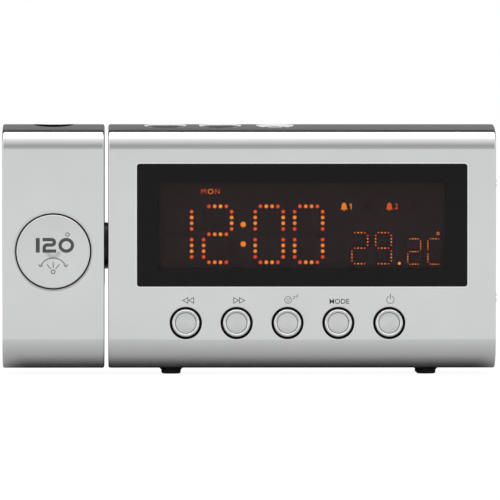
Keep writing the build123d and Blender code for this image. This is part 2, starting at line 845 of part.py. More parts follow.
# ---- Lead through the hub ----
socket_left = body_left + socket_inset
socket_x = (socket_left, socket_left + socket_width)
socket_z = (hub_z - socket_height / 2, hub_z + socket_height / 2)
parts["lead_socket"] = span(socket_x, (board_back, hub_depth + socket_overlap), socket_z)
optic_half = optic_frame_size / 2
plug_right = projector_middle + optic_half + plug_gap + plug_length
lead_x = (plug_right + lead_end_gap, socket_left)
parts["projector_lead"] = rod_x(lead_x, hub_depth, hub_z, lead_radius)


# ---- Projection key and its switch board ----
disc_flange = disc_radius + key_flange_width
disc_flange_top = -wall - key_flange_gap
disc_stem_end = disc_flange_top - key_flange_thickness - disc_stem_length
switch_board_front = -disc_stem_end + key_travel + plunger_gap + plunger_height + switch_height


def projection_key():
    """Large softly domed disc, hollow behind, with a retaining flange and a stem."""
    shoulder = disc_proud - disc_crown
    side = shoulder - disc_corner
    under = disc_proud - disc_wall
    turn = (disc_radius - disc_corner_bulge, shoulder - disc_corner_bulge)
    line = cap_arc(disc_radius - disc_corner, disc_proud, shoulder)
    line += ThreePointArc((disc_radius - disc_corner, shoulder), turn, (disc_radius, side))
    line += Polyline(
        (disc_radius, side),
        (disc_radius, disc_flange_top),
        (disc_flange, disc_flange_top),
        (disc_flange, disc_flange_top - key_flange_thickness),
        (disc_radius - disc_wall, disc_flange_top - key_flange_thickness),
        (disc_radius - disc_wall, under - disc_crown),
        (key_stem_radius, under),
        (key_stem_radius, disc_stem_end),
        (0, disc_stem_end),
        (0, disc_proud),
    )
    return turned(line)


projector_front -= rod_y(projector_middle, disc_z, (-overcut, 2 * wall), disc_hole_radius)
disc_chamfer = hole_chamfer(disc_hole_radius, disc_hole_chamfer, disc_hole_chamfer_depth)
projector_front -= facing_front(projector_middle, disc_z, disc_chamfer)
parts["projection_key"] = facing_front(projector_middle, disc_z, projection_key())

switch_board_back = switch_board_front + board_thickness
board_size = (switch_board_width, switch_board_height)
switch_board_depths = (switch_board_front, switch_board_back)
switch_board = plate(projector_middle, disc_z, board_size, switch_board_corner, switch_board_depths)
projector_screws = []
for side in (-1, 1):
    for end in (-1, 1):
        x = projector_middle + side * switch_post_spread / 2
        z = disc_z + end * switch_post_reach
        projector_front += rod_y(x, z, (wall / 2, switch_board_front), board_post_radius)
        projector_front -= rod_y(x, z, (wall, switch_board_front + overcut), screw_bore_radius)
        hole_depths = (switch_board_front - overcut, switch_board_back + overcut)
        switch_board -= rod_y(x, z, hole_depths, screw_pass_radius)
        head_depths = (switch_board_back, switch_board_back + board_screw_head_height)
        head = rod_y(x, z, head_depths, board_screw_head_radius)
        shank = rod_y(x, z, (wall + screw_tip_gap, switch_board_back), board_screw_radius)
        projector_screws.append(head + shank)
parts["projection_switch_board"] = switch_board
parts["projection_switch"] = facing_front(
    projector_middle, disc_z, Pos(0, 0, -switch_board_front) * push_switch()
)


# ---- Projector optics, from the lamp up to the focus ring ----
lens_top = crown_z(lens_depth)
optic_base = hub_z - optic_frame_drop
optic_shoulder = optic_base + optic_frame_height
boss_under = lens_top - top_boss_thickness
ring_flange_top = boss_under - key_flange_gap
ring_flange_end = ring_flange_top - focus_flange_thickness
neck_top = ring_flange_end - optic_neck_gap


def on_axis(z, radius):
    """Upright round bar on the optical axis."""
    return rod_z(projector_middle, lens_depth, z, radius)


def square_on_axis(z, size):
    """Upright square bar on the optical axis."""
    half = size / 2
    return span((projector_middle - half, projector_middle + half), (lens_depth - half, lens_depth + half), z)


boss = on_axis((boss_under, lens_top), lens_dish_radius + lens_boss_width)
projector_front += boss & projector_skin
projector_front -= Pos(projector_middle, lens_y, lens_top) * dish_cut(lens_dish_radius, lens_dish_sag)
ring_hole_z = (boss_under - overcut, lens_top + overcut)
projector_front -= on_axis(ring_hole_z, focus_ring_radius + focus_ring_clearance)

ring_top = lens_top - focus_ring_sink
ring_line = Polyline(
    (barrel_radius + running_clearance, ring_flange_end),
    (focus_flange_radius, ring_flange_end),
    (focus_flange_radius, ring_flange_top),
    (focus_ring_radius, ring_flange_top),
    (focus_ring_radius, ring_top - focus_ring_edge),
    (focus_ring_radius - focus_ring_edge, ring_top),
    (barrel_radius + focus_ring_edge, ring_top),
    (barrel_radius + running_clearance, ring_top - focus_ring_edge),
    close=True,
)
focus_ring = Pos(projector_middle, lens_y, 0) * turned(ring_line)
notch = Pos(focus_ring_radius, 0, 0) * Box(focus_notch_size, focus_notch_size, 2 * focus_notch_depth)
for n in range(focus_notches):
    focus_ring -= Pos(projector_middle, lens_y, ring_top) * Rot(Z=360 * n / focus_notches) * notch
parts["focus_ring"] = focus_ring

barrel_top = ring_top - focus_travel / 2 - barrel_sink
barrel_base = barrel_top - barrel_height
barrel = on_axis((barrel_base, barrel_top), barrel_radius)
barrel -= on_axis((barrel_base - overcut, barrel_top + overcut), barrel_radius - barrel_wall)
key_depths = (lens_depth - barrel_key_width / 2, lens_depth + barrel_key_width / 2)
for side in (-1, 1):
    root = projector_middle + side * (barrel_radius - barrel_wall / 2)
    tip = projector_middle + side * (barrel_radius + barrel_key_reach)
    barrel += span(sorted((root, tip)), key_depths, (barrel_base, barrel_base + barrel_key_height))
lens_seat = barrel_top - lens_seat_depth
seat_ring = on_axis((lens_seat - lens_seat_thickness, lens_seat), barrel_radius - barrel_wall / 2)
seat_ring -= on_axis((lens_seat - lens_seat_thickness - overcut, lens_seat + overcut), lens_stop_radius)
barrel += seat_ring
parts["lens_barrel"] = barrel


def lens(radius, edge, bulge):
    """Lens in a local frame, flat below and domed above: its flat side is zero."""
    line = cap_arc(radius, edge + bulge, edge)
    line += Polyline((radius, edge), (radius, 0), (0, 0), (0, edge + bulge))
    return turned(line)


lens_radius = barrel_radius - barrel_wall - screw_fit
parts["projection_lens"] = Pos(projector_middle, lens_y, lens_seat) * lens(lens_radius, lens_edge, lens_bulge)

inner_size = optic_frame_size - 2 * optic_frame_wall
neck_bore = (optic_shoulder - optic_frame_wall - overcut, neck_top + overcut)
optic = square_on_axis((optic_base, optic_shoulder), optic_frame_size)
optic -= square_on_axis((optic_base - overcut, optic_shoulder - optic_frame_wall), inner_size)
optic += on_axis((optic_shoulder - optic_frame_wall, neck_top), optic_neck_radius)
optic -= on_axis(neck_bore, barrel_radius + running_clearance)
keyway_reach = barrel_radius + barrel_key_reach + barrel_key_clearance
keyway_x = (projector_middle - keyway_reach, projector_middle + keyway_reach)
keyway_depths = (key_depths[0] - barrel_key_clearance, key_depths[1] + barrel_key_clearance)
optic -= span(keyway_x, keyway_depths, neck_bore)
ear_floor = optic_base + optic_frame_wall
ear_span_x = (projector_middle - optic_half - optic_ear_reach, projector_middle + optic_half)
ear_depths = (lens_depth - optic_ear_width / 2, lens_depth + optic_ear_width / 2)
ears = span(ear_span_x, ear_depths, (optic_base, ear_floor))
ears -= square_on_axis((optic_base - overcut, ear_floor + overcut), inner_size)
optic += ears

lamp_board_z = (optic_base - board_thickness, optic_base)
lamp_board_x = (left_end + wall + lamp_board_gap, plug_right + lamp_board_overhang)
lamp_board_depths = (lens_depth - lamp_board_width / 2, lens_depth + lamp_board_width / 2)
lamp_board = span(lamp_board_x, lamp_board_depths, lamp_board_z)
shelf_x = (left_end + wall / 2, left_end + wall + shelf_reach)
shelf_z = (lamp_board_z[0] - shelf_thickness, lamp_board_z[0])
projector_front += span(shelf_x, (lens_depth - shelf_width / 2, lens_depth + shelf_width / 2), shelf_z)
ear_x = left_end + wall + ear_screw_inset
projector_front -= rod_z(ear_x, lens_depth, (shelf_z[0] - overcut, shelf_z[1] + overcut), screw_bore_radius)
lamp_board_hole = (lamp_board_z[0] - overcut, lamp_board_z[1] + overcut)
lamp_board -= rod_z(ear_x, lens_depth, lamp_board_hole, screw_pass_radius)
optic -= rod_z(ear_x, lens_depth, (optic_base - overcut, ear_floor + overcut), screw_pass_radius)
ear_head_z = (ear_floor, ear_floor + board_screw_head_height)
ear_screw = rod_z(ear_x, lens_depth, ear_head_z, board_screw_head_radius)
ear_screw += rod_z(ear_x, lens_depth, (shelf_z[0] + screw_slack, ear_floor), board_screw_radius)
projector_screws.append(ear_screw)
parts["lamp_board"] = lamp_board
parts["projector_board_screws"] = Compound(children=projector_screws)

lead_plug_x = (plug_right - plug_length, plug_right)
lead_plug_depths = (hub_depth - plug_width / 2, hub_depth + plug_width / 2)
parts["lead_plug"] = span(lead_plug_x, lead_plug_depths, (lamp_board_z[1], hub_z + plug_overlap))

lamp = on_axis((optic_base, optic_base + lamp_height), lamp_radius)
lamp += on_axis((optic_base, optic_base + lamp_flange_height), lamp_flange_radius)
parts["projection_lamp"] = fillet(lamp.edges().sort_by(Axis.Z)[-1], lamp_dome_radius)

condenser_z = optic_base + condenser_rise
slide_z = optic_base + slide_rise
for z in (condenser_z, slide_z):
    ledge = square_on_axis((z - optic_ledge_thickness, z), inner_size + optic_frame_wall / 2)
    ledge -= on_axis((z - optic_ledge_thickness - overcut, z + overcut), inner_size / 2 - optic_ledge_width)
    optic += ledge
parts["optic_frame"] = optic
condenser = lens(inner_size / 2 - optic_clearance, lens_edge, condenser_bulge)
parts["condenser_lens"] = Pos(projector_middle, lens_y, condenser_z) * condenser
parts["time_slide"] = square_on_axis((slide_z, slide_z + slide_thickness), inner_size - 2 * optic_clearance)


# ---- Feet ----
def foot():
    """Rubber foot in a local frame: its seat in the base is zero and it points down."""
    end = -(foot_reach + foot_recess)
    waist = -foot_recess - foot_flange_thickness
    side = (foot_radius, end + foot_edge_radius)
    sole = (foot_radius - foot_edge_radius, end)
    bulge = foot_edge_radius * (1 - sqrt(0.5))
    flare = (foot_flange_radius, waist + foot_flare)
    line = Polyline((0, 0), (foot_flange_radius, 0), flare, (foot_radius, waist), side)
    line += ThreePointArc(side, (foot_radius - bulge, end + bulge), sole)
    line += Polyline(sole, (0, end), (0, 0))
    return turned(line)


foot_shape = foot()
foot_xs = {"left": body_left + foot_left_inset, "right": body_right - foot_right_inset}
for row, depth in {"front": foot_front_depth, "rear": foot_rear_depth}.items():
    for side, x in foot_xs.items():
        seat_z = (body_base - overcut, body_base + foot_recess)
        seat = rod_z(x, depth, seat_z, foot_flange_radius + lip_clearance)
        front_casing -= seat
        rear_casing -= seat
        parts[f"foot_{row}_{side}"] = Pos(x, front_y + depth, body_base + foot_recess) * foot_shape


# ---- Battery bay and its cover ----
bay_x = (body_left + bay_start, body_left + bay_start + bay_length)
bay_z = (body_base + bay_rise, body_base + bay_rise + bay_height)
bay_floor = body_depth - cover_thickness - bay_depth
tray_x = (bay_x[0] - bay_wall, bay_x[1] + bay_wall)
tray_z = (bay_z[0] - bay_wall, bay_z[1] + bay_wall)
rear_casing += span(tray_x, (bay_floor - bay_wall, body_depth - wall / 2), tray_z)
rear_casing -= span(bay_x, (bay_floor, body_depth + overcut), bay_z)
seat_x = (bay_x[0] - cover_ledge, bay_x[1] + cover_ledge)
seat_z = (bay_z[0], bay_z[1] + cover_ledge)
rear_casing += span(
    (seat_x[0] - bay_wall, seat_x[1] + bay_wall),
    (body_depth - cover_thickness - bay_wall, body_depth - wall / 2),
    (seat_z[0], seat_z[1] + bay_wall),
) - span(bay_x, (0, body_depth + overcut), bay_z)
rear_casing -= span(seat_x, (body_depth - cover_thickness, body_depth + overcut), seat_z)
rib_middle = (bay_z[0] + bay_z[1]) / 2
rib_x = (bay_x[0] + cell_rib_inset, bay_x[1] - cell_rib_inset)
rib_z = (rib_middle - cell_rib_thickness / 2, rib_middle + cell_rib_thickness / 2)
rear_casing += span(rib_x, (bay_floor - bay_wall / 2, bay_floor + cell_rib_height), rib_z)

cover_x = (seat_x[0] + cover_clearance, seat_x[1] - cover_clearance)
cover_z = (seat_z[0] + cover_clearance, seat_z[1] - cover_clearance)
cover = span(cover_x, (body_depth - cover_thickness, body_depth), cover_z)
grip_x = (sum(cover_x) - cover_grip_length) / 2
grip_span = (grip_x, grip_x + cover_grip_length)
cover -= rod_x(grip_span, body_depth + cover_grip_rise, cover_z[1] - cover_grip_inset, cover_grip_radius)
hook_depth = body_depth - wall - cover_hook_gap
for side in (-1, 1):
    x = (bay_x[0] + bay_x[1]) / 2 + side * bay_length / 4
    hook_x = (x - cover_hook_width / 2, x + cover_hook_width / 2)
    hook_z = cover_z[0] - cover_hook_reach
    neck = (hook_depth - cover_hook_thickness, body_depth - cover_thickness / 2)
    root_z = cover_z[0] + cover_hook_overlap
    cover += span(hook_x, neck, (cover_z[0], root_z))
    cover += span(hook_x, (hook_depth - cover_hook_thickness, hook_depth), (hook_z, root_z))
    room_x = (hook_x[0] - cover_hook_room, hook_x[1] + cover_hook_room)
    room_depths = (hook_depth - cover_hook_thickness - cover_hook_swing, hook_depth + cover_hook_gap)
    rear_casing -= span(room_x, room_depths, (hook_z - cover_hook_room, seat_z[0] + overcut))
parts["battery_cover"] = cover

contacts = []
for end, x in enumerate(bay_x):
    inward = 1 if end == 0 else -1
    for row in (-1, 1):
        z = rib_middle + row * bay_height / 4
        tab = sorted((x, x + inward * contact_thickness))
        tab_z = (z - contact_width / 2, z + contact_width / 2)
        contact = span(tab, (bay_floor, bay_floor + contact_height), tab_z)
        if end == 0:
            spring_x = x + contact_thickness + contact_spring_length / 2
            spring = Cone(contact_spring_base, contact_spring_tip, contact_spring_length)
            contact += Pos(spring_x, front_y + bay_floor + contact_spring_rise, z) * Rot(Y=90) * spring
        contacts.append(contact)
parts["battery_contacts"] = Compound(children=contacts)


# ---- Power inlet ----
inlet_x = body_left + inlet_start
inlet_z = body_base + inlet_rise
inlet_depth = (body_depth - wall - inlet_length, body_depth - wall)
half = inlet_size / 2
inlet_hole = (body_depth - wall - overcut, body_depth + overcut)
rear_casing -= rod_y(inlet_x, inlet_z, inlet_hole, inlet_hole_radius)
inlet = span((inlet_x - half, inlet_x + half), inlet_depth, (inlet_z - half, inlet_z + half))
collar = (inlet_depth[1] - overcut, inlet_depth[1] + inlet_collar)
inlet += rod_y(inlet_x, inlet_z, collar, inlet_hole_radius - inlet_clearance)
inlet -= rod_y(inlet_x, inlet_z, (inlet_depth[0] + inlet_floor, body_depth), inlet_bore_radius)
inlet += rod_y(inlet_x, inlet_z, inlet_depth, inlet_pin_radius)
parts["power_inlet"] = inlet


# ---- Speaker behind its grille ----
speaker_x = body_left + speaker_start
speaker_z = (bay_z[1] + body_top) / 2 - speaker_lowering
speaker_back = body_depth - wall
slots = int(grille_radius / grille_pitch)
for n in range(-slots, slots + 1):
    z = n * grille_pitch
    length = 2 * sqrt(grille_radius**2 - z**2)
    plane = Plane(origin=(speaker_x, back_y + overcut, speaker_z + z), x_dir=(1, 0, 0), z_dir=(0, 1, 0))
    rear_casing -= extrude(plane * SlotOverall(length, grille_slot_width), -(wall + 2 * overcut))
seat_bore_radius = speaker_radius + speaker_seat_clearance
seat_depths = (speaker_back - speaker_seat_height, speaker_back)
bore_depths = (seat_depths[0] - overcut, speaker_back + overcut)
rim = rod_y(speaker_x, speaker_z, seat_depths, seat_bore_radius + speaker_seat_wall)
rear_casing += rim - rod_y(speaker_x, speaker_z, bore_depths, seat_bore_radius)


def speaker_frame():
    """Pressed basket in a local frame: its front rim is zero and it points down local Z."""
    cup = -speaker_depth + speaker_rim_thickness
    line = Polyline(
        (speaker_radius, 0),
        (speaker_radius, -speaker_rim_thickness),
        (speaker_radius - speaker_rim_width, -speaker_rim_thickness),
        (speaker_cup_radius, cup),
        (speaker_cup_radius, -speaker_depth),
        (0, -speaker_depth),
        (0, cup),
        (speaker_neck_radius, cup),
        (speaker_radius - speaker_mouth_inset, 0),
        close=True,
    )
    return turned(line)


def speaker_cone():
    """Paper cone with a dust cap, in the same local frame."""
    edge = speaker_radius - cone_edge_inset
    line = cap_arc(cap_radius, -cap_top, -cap_edge)
    line += Polyline(
        (cap_radius, -cap_edge),
        (edge, -cone_edge_drop),
        (edge + cone_edge_width, -cone_edge_drop),
        (cap_radius, -cap_edge - cone_thickness),
        (0, -cap_top - cone_thickness),
        (0, -cap_top),
    )
    return turned(line)


at_speaker = Pos(speaker_x, front_y + speaker_back, speaker_z) * Rot(X=-90)
parts["speaker_frame"] = at_speaker * speaker_frame()
parts["speaker_cone"] = at_speaker * speaker_cone()
magnet_place = Pos(0, 0, -speaker_depth - magnet_length / 2)
parts["speaker_magnet"] = at_speaker * magnet_place * Cylinder(magnet_radius, magnet_length)

parts["front_casing"] = front_casing
parts["rear_casing"] = rear_casing
parts["projector_front_casing"] = projector_front
parts["projector_rear_casing"] = projector_rear

os.makedirs("parts", exist_ok=True)
for name, solid in parts.items():
    export_step(solid, f"parts/{name}.step")
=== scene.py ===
# %% [markdown]
# # Dressing a projection alarm clock
# The solids of the clock arrive as a frame: two silver modules, a smoked window, keys,
# boards and a projector. This lesson keeps those solids, gives each one a finish made of shader nodes, and
# adds what is too thin for the solids: lit dots, lettering, printed symbols and small trim.
# Everything is in metres. X runs to the right, Y to the back and Z up.

# %% Load the frame
import math

import bpy
import numpy as np
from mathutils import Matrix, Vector


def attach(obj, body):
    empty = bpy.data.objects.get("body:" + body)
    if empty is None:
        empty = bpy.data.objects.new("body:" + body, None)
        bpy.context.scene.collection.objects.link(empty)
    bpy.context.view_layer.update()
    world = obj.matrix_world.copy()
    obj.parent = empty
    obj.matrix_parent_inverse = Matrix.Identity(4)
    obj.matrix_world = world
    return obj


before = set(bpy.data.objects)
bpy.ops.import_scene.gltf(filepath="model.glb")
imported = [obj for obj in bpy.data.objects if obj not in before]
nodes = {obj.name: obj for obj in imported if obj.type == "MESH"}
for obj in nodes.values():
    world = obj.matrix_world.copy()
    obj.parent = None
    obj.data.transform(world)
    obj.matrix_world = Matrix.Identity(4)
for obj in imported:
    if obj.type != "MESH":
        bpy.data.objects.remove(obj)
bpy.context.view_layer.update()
mm = 0.001


# %% Put something new in the scene
def new_object(name, data):
    """An object that holds a mesh, a lamp or a camera, linked to the scene."""
    item = bpy.data.objects.new(name, data)
    bpy.context.collection.objects.link(item)
    return item


# %% [markdown]
# ## Camera
# Small products are photographed from far away with a long lens, so that a box keeps its sides straight.
# A viewpoint almost three metres off and one degree above the level does that here, a little to the left of
# the clock's middle. The focal length is worked out from the width that should fill a square picture.

# %% Place the camera
camera_distance = 2.8
camera_rise = math.radians(1.1)
camera_x = -45.0 * mm
view_width = 202.4 * mm
aim = Vector((-0.6, -23.75, 50.6)) * mm
sensor_width = 36.0

optics = bpy.data.cameras.new("studio_camera")
optics.sensor_width = sensor_width
optics.lens = sensor_width * camera_distance / view_width
optics.clip_end = 20.0
camera = new_object("studio_camera", optics)
back_off = Vector((0, -math.cos(camera_rise), math.sin(camera_rise))) * camera_distance
camera.location = Vector((camera_x, aim.y, aim.z)) + back_off
camera.rotation_mode = "QUATERNION"
camera.rotation_quaternion = (aim - camera.location).to_track_quat("-Z", "Y")
bpy.context.scene.camera = camera
bpy.context.scene.view_settings.view_transform = "Standard"
print("focal length", round(optics.lens), "mm")

# %% [markdown]
# ## Surfaces from numbers
# Every new piece is worked out with numpy. A turned shape is a profile of (radius, height) pairs carried
# round a circle, and a stroke is a small rectangle carried along a path. Whole arrays are computed at once,
# which is quick, and the same few functions serve every dot, ring and printed line.

# %% Put arrays into a mesh
def add_piece(name, points, faces, body, material):
    """Makes an object at the origin from an array of points and a list of faces, tied to a body."""
    mesh = bpy.data.meshes.new(name)
    mesh.from_pydata(points.tolist(), [], faces)
    mesh.validate()
    mesh.materials.append(material)
    piece = new_object(name, mesh)
    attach(piece, body)
    print(name, len(mesh.polygons), "faces")
    return piece


# %% A profile turned about an axis
def turned(profile, sides):
    """Points (a, b, height) of a profile of (radius, height) turned about the height axis, and its faces.
    Ring i holds radius_i * (cos t, sin t) for t over the circle. The first and last radius are zero, so each
    of those rings is a single point, and the shape is closed."""
    profile = np.array(profile, float)
    turn = np.arange(sides) * 2 * np.pi / sides
    rings = profile[1:-1]
    across = rings[:, :1] * np.cos(turn)
    along = rings[:, :1] * np.sin(turn)
    level = np.repeat(rings[:, 1:], sides, axis=1)
    body_points = np.stack((across, along, level), axis=-1).reshape(-1, 3)
    start = np.array([[0, 0, profile[0, 1]]])
    end = np.array([[0, 0, profile[-1, 1]]])
    points = np.concatenate((start, body_points, end))
    here = np.arange(sides)
    after = (here + 1) % sides
    first = 1 + np.arange(len(rings) - 1)[:, None] * sides
    quads = np.stack((first + here, first + after, first + sides + after, first + sides + here), axis=-1)
    last = 1 + (len(rings) - 1) * sides
    bottom = np.stack((0 * here, 1 + after, 1 + here), axis=-1)
    top = np.stack((0 * here + len(points) - 1, last + here, last + after), axis=-1)
    return points, quads.reshape(-1, 4).tolist() + bottom.tolist() + top.tolist()


# %% A closed section turned about an axis
def hoop_faces(corners, sides):
    """Quads between rings of points that close both ways round, like the surface of a tyre."""
    corner = np.arange(corners)[:, None] * sides
    above = (np.arange(corners)[:, None] + 1) % corners * sides
    here = np.arange(sides)
    after = (here + 1) % sides
    quads = np.stack((corner + here, corner + after, above + after, above + here), axis=-1)
    return quads.reshape(-1, 4).tolist()


def hoop(section, sides, centre):
    """A ring: corners (radius, height), listed anticlockwise, turned about the height axis at a centre.
    Corner i gives the points (centre + radius_i * (cos t, sin t), height_i) for t over the circle."""
    section = np.array(section, float)
    turn = np.arange(sides) * 2 * np.pi / sides
    across = centre[0] + section[:, :1] * np.cos(turn)
    along = centre[1] + section[:, :1] * np.sin(turn)
    level = np.repeat(section[:, 1:], sides, axis=1)
    points = np.stack((across, along, level), axis=-1).reshape(-1, 3)
    return points, hoop_faces(len(section), sides)


# %% Many copies of one shape
def repeated(points, faces, places):
    """One array of all copies: every point is added to every place, and face numbers step by one copy."""
    places = np.array(places, float)
    many = (places[:, None, :] + points[None, :, :]).reshape(-1, 3)
    steps = range(0, len(many), len(points))
    return many, [[corner + step for corner in face] for step in steps for face in faces]


def to_front(points):
    """Turns (right, up, forward) into the room's (X, Y, Z). Forward is towards the viewer, so it is -Y."""
    return np.stack((points[:, 0], -points[:, 2], points[:, 1]), axis=-1)


# %% A stroke along a path
def stroke(path, width, thickness, closed):
    """A printed line: a rectangle of width by thickness carried along points (right, up).
    At each point the side direction is square to the mean of the two runs that meet there, and is made
    longer by one over the cosine of half the bend, so the line keeps its width round a corner."""
    path = np.array(path, float)
    ahead = np.roll(path, -1, axis=0) - path
    behind = path - np.roll(path, 1, axis=0)
    if not closed:
        ahead[-1] = behind[-1]
        behind[0] = ahead[0]
    ahead /= np.linalg.norm(ahead, axis=1, keepdims=True)
    behind /= np.linalg.norm(behind, axis=1, keepdims=True)
    mean = ahead + behind
    mean /= np.linalg.norm(mean, axis=1, keepdims=True)
    side = np.stack((-mean[:, 1], mean[:, 0]), axis=-1)
    side *= width / 2 / np.clip((mean * ahead).sum(axis=1, keepdims=True), 0.4, 1)
    left, right = path + side, path - side
    level = np.zeros((len(path), 1))
    corners = [np.hstack((left, level)), np.hstack((right, level))]
    corners += [np.hstack((right, level + thickness)), np.hstack((left, level + thickness))]
    points = np.stack(corners, axis=1).reshape(-1, 3)
    count = len(path)
    here = np.arange(count if closed else count - 1)
    after = (here + 1) % count
    faces = []
    for a, b in ((0, 1), (1, 2), (2, 3), (3, 0)):
        faces += np.stack((4 * here + b, 4 * here + a, 4 * after + a, 4 * after + b), axis=-1).tolist()
    if not closed:
        faces += [[0, 1, 2, 3], [4 * count - 1, 4 * count - 2, 4 * count - 3, 4 * count - 4]]
    return points, faces


def joined(shapes):
    """Several (points, faces) pairs as one pair."""
    points, faces, start = [], [], 0
    for shape_points, shape_faces in shapes:
        points.append(shape_points)
        faces += [[corner + start for corner in face] for face in shape_faces]
        start += len(shape_points)
    return np.concatenate(points), faces


def arc(centre, radius, start, end, count):
    """Points on a circle between two angles in degrees, counted from the right towards the top."""
    angle = np.radians(np.linspace(start, end, count))
    return np.stack((centre[0] + radius * np.cos(angle), centre[1] + radius * np.sin(angle)), axis=-1)


def rounded_box(centre, width, height, radius):
    """The outline of a rectangle with round corners: four quarter circles, one after the other."""
    across, up = width / 2 - radius, height / 2 - radius
    quarters = ((across, up, 0), (-across, up, 90), (-across, -up, 180), (across, -up, 270))
    return np.concatenate([arc((centre[0] + x, centre[1] + z), radius, start, start + 90, 8)
                           for x, z, start in quarters])


# %% A flat shape with a thickness
def plate(outline, thickness):
    """A closed outline of points (right, up), listed anticlockwise, as a thin plate: one face in front, one
    behind, and a wall between them."""
    outline = np.array(outline, float)
    count = len(outline)
    low = np.hstack((outline, np.zeros((count, 1))))
    high = np.hstack((outline, np.full((count, 1), thickness)))
    here = np.arange(count)
    after = (here + 1) % count
    walls = np.stack((here, after, count + after, count + here), axis=-1)
    return np.concatenate((low, high)), walls.tolist() + [here[::-1].tolist(), (count + here).tolist()]


# %% Lettering as a mesh
def lettering(words, height, centre, thickness, boldness, spacing):
    """Letters as (points, faces) with (right, up, forward) axes. The text curve is made a mesh, scaled so
    that its capitals have the wanted height, and moved so that its middle is at the wanted place."""
    curve = bpy.data.curves.new("letters", "FONT")
    curve.body = words
    curve.extrude = 0.5
    curve.offset = boldness
    curve.space_character = spacing
    curve.resolution_u = 4
    holder = bpy.data.objects.new("letters", curve)
    mesh = bpy.data.meshes.new_from_object(holder)
    points = np.empty(len(mesh.vertices) * 3)
    mesh.vertices.foreach_get("co", points)
    points = points.reshape(-1, 3)
    faces = [list(face.vertices) for face in mesh.polygons]
    bpy.data.objects.remove(holder)
    bpy.data.meshes.remove(mesh)
    low, high = points.min(axis=0), points.max(axis=0)
    size = height / (high[1] - low[1])
    middle = (low + high) / 2
    flat = (points[:, :2] - middle[:2]) * size + np.array(centre)
    return np.hstack((flat, (points[:, 2:] + 0.5) * thickness)), faces


# %% [markdown]
# ## Groups of shader nodes
# Several finishes share an effect. Silver paint has tiny flakes that each catch the light a little
# differently, moulded plastic has a fine grain and is never quite even, and every glossy face that is
# handled has soft marks. Each effect is one node group with named sockets, placed with its own values.

# %% A group and its sockets
def new_group(name, inputs, outputs):
    """A shader node group. inputs and outputs are lists of (socket name, kind), where kind is Vector, Color
    or Float. Returns the group, its input node and its output node."""
    group = bpy.data.node_groups.new(name, "ShaderNodeTree")
    for title, kind in inputs:
        group.interface.new_socket(title, in_out="INPUT", socket_type="NodeSocket" + kind)
    for title, kind in outputs:
        group.interface.new_socket(title, in_out="OUTPUT", socket_type="NodeSocket" + kind)
    return group, group.nodes.new("NodeGroupInput"), group.nodes.new("NodeGroupOutput")


def connect(tree, source, target):
    """Links a source to a target socket, or sets the target where the source is a plain number."""
    if isinstance(source, (int, float)):
        target.default_value = source
    else:
        tree.links.new(source, target)


def sums(tree, operation, first, second, third=None):
    """A Math node: the operation on two or three sources. Returns its output socket."""
    node = tree.nodes.new("ShaderNodeMath")
    node.operation = operation
    connect(tree, first, node.inputs[0])
    connect(tree, second, node.inputs[1])
    if third is not None:
        connect(tree, third, node.inputs[2])
    return node.outputs[0]


def brightened(tree, colour, amount):
    """The colour times (1 + amount), by a Vector Math node set to Scale. Returns its output socket."""
    node = tree.nodes.new("ShaderNodeVectorMath")
    node.operation = "SCALE"
    tree.links.new(colour, node.inputs[0])
    tree.links.new(sums(tree, "ADD", amount, 1.0), node.inputs["Scale"])
    return node.outputs[0]


def noise(tree, vector, scale, detail=2.0):
    """A Noise texture of a scale in features per metre. Returns its Fac output."""
    node = tree.nodes.new("ShaderNodeTexNoise")
    tree.links.new(vector, node.inputs["Vector"])
    connect(tree, scale, node.inputs["Scale"])
    node.inputs["Detail"].default_value = detail
    return node.outputs["Fac"]


def axes(tree, vector):
    """The outputs X, Y and Z of a Separate XYZ node that reads a vector."""
    node = tree.nodes.new("ShaderNodeSeparateXYZ")
    tree.links.new(vector, node.inputs[0])
    return node.outputs


def blended(tree, first, second, amount):
    """A Mix node between two plain colours by an amount. Returns its output socket."""
    node = tree.nodes.new("ShaderNodeMix")
    node.data_type = "RGBA"
    node.inputs["A"].default_value = first
    node.inputs["B"].default_value = second
    tree.links.new(amount, node.inputs["Factor"])
    return node.outputs["Result"]


# %% Metal flakes in paint
def make_flake_group():
    """Splits space into cells of the flake size. Each cell has a random number, and the paint there is made
    brighter and smoother, or darker and rougher, by that number less one half times the sparkle."""
    inputs = [("Vector", "Vector"), ("Colour", "Color"), ("Roughness", "Float")]
    inputs += [("Flakes per Metre", "Float"), ("Sparkle", "Float")]
    tree, start, end = new_group("metal_flake", inputs, [("Colour", "Color"), ("Roughness", "Float")])
    cells = tree.nodes.new("ShaderNodeTexVoronoi")
    tree.links.new(start.outputs["Vector"], cells.inputs["Vector"])
    tree.links.new(start.outputs["Flakes per Metre"], cells.inputs["Scale"])
    split = tree.nodes.new("ShaderNodeSeparateColor")
    tree.links.new(cells.outputs["Color"], split.inputs["Color"])
    swing = sums(tree, "SUBTRACT", split.outputs["Red"], 0.5)
    change = sums(tree, "MULTIPLY", swing, start.outputs["Sparkle"])
    tree.links.new(brightened(tree, start.outputs["Colour"], change), end.inputs["Colour"])
    smoother = sums(tree, "SUBTRACT", start.outputs["Roughness"], change)
    tree.links.new(smoother, end.inputs["Roughness"])
    return tree


flake_group = make_flake_group()


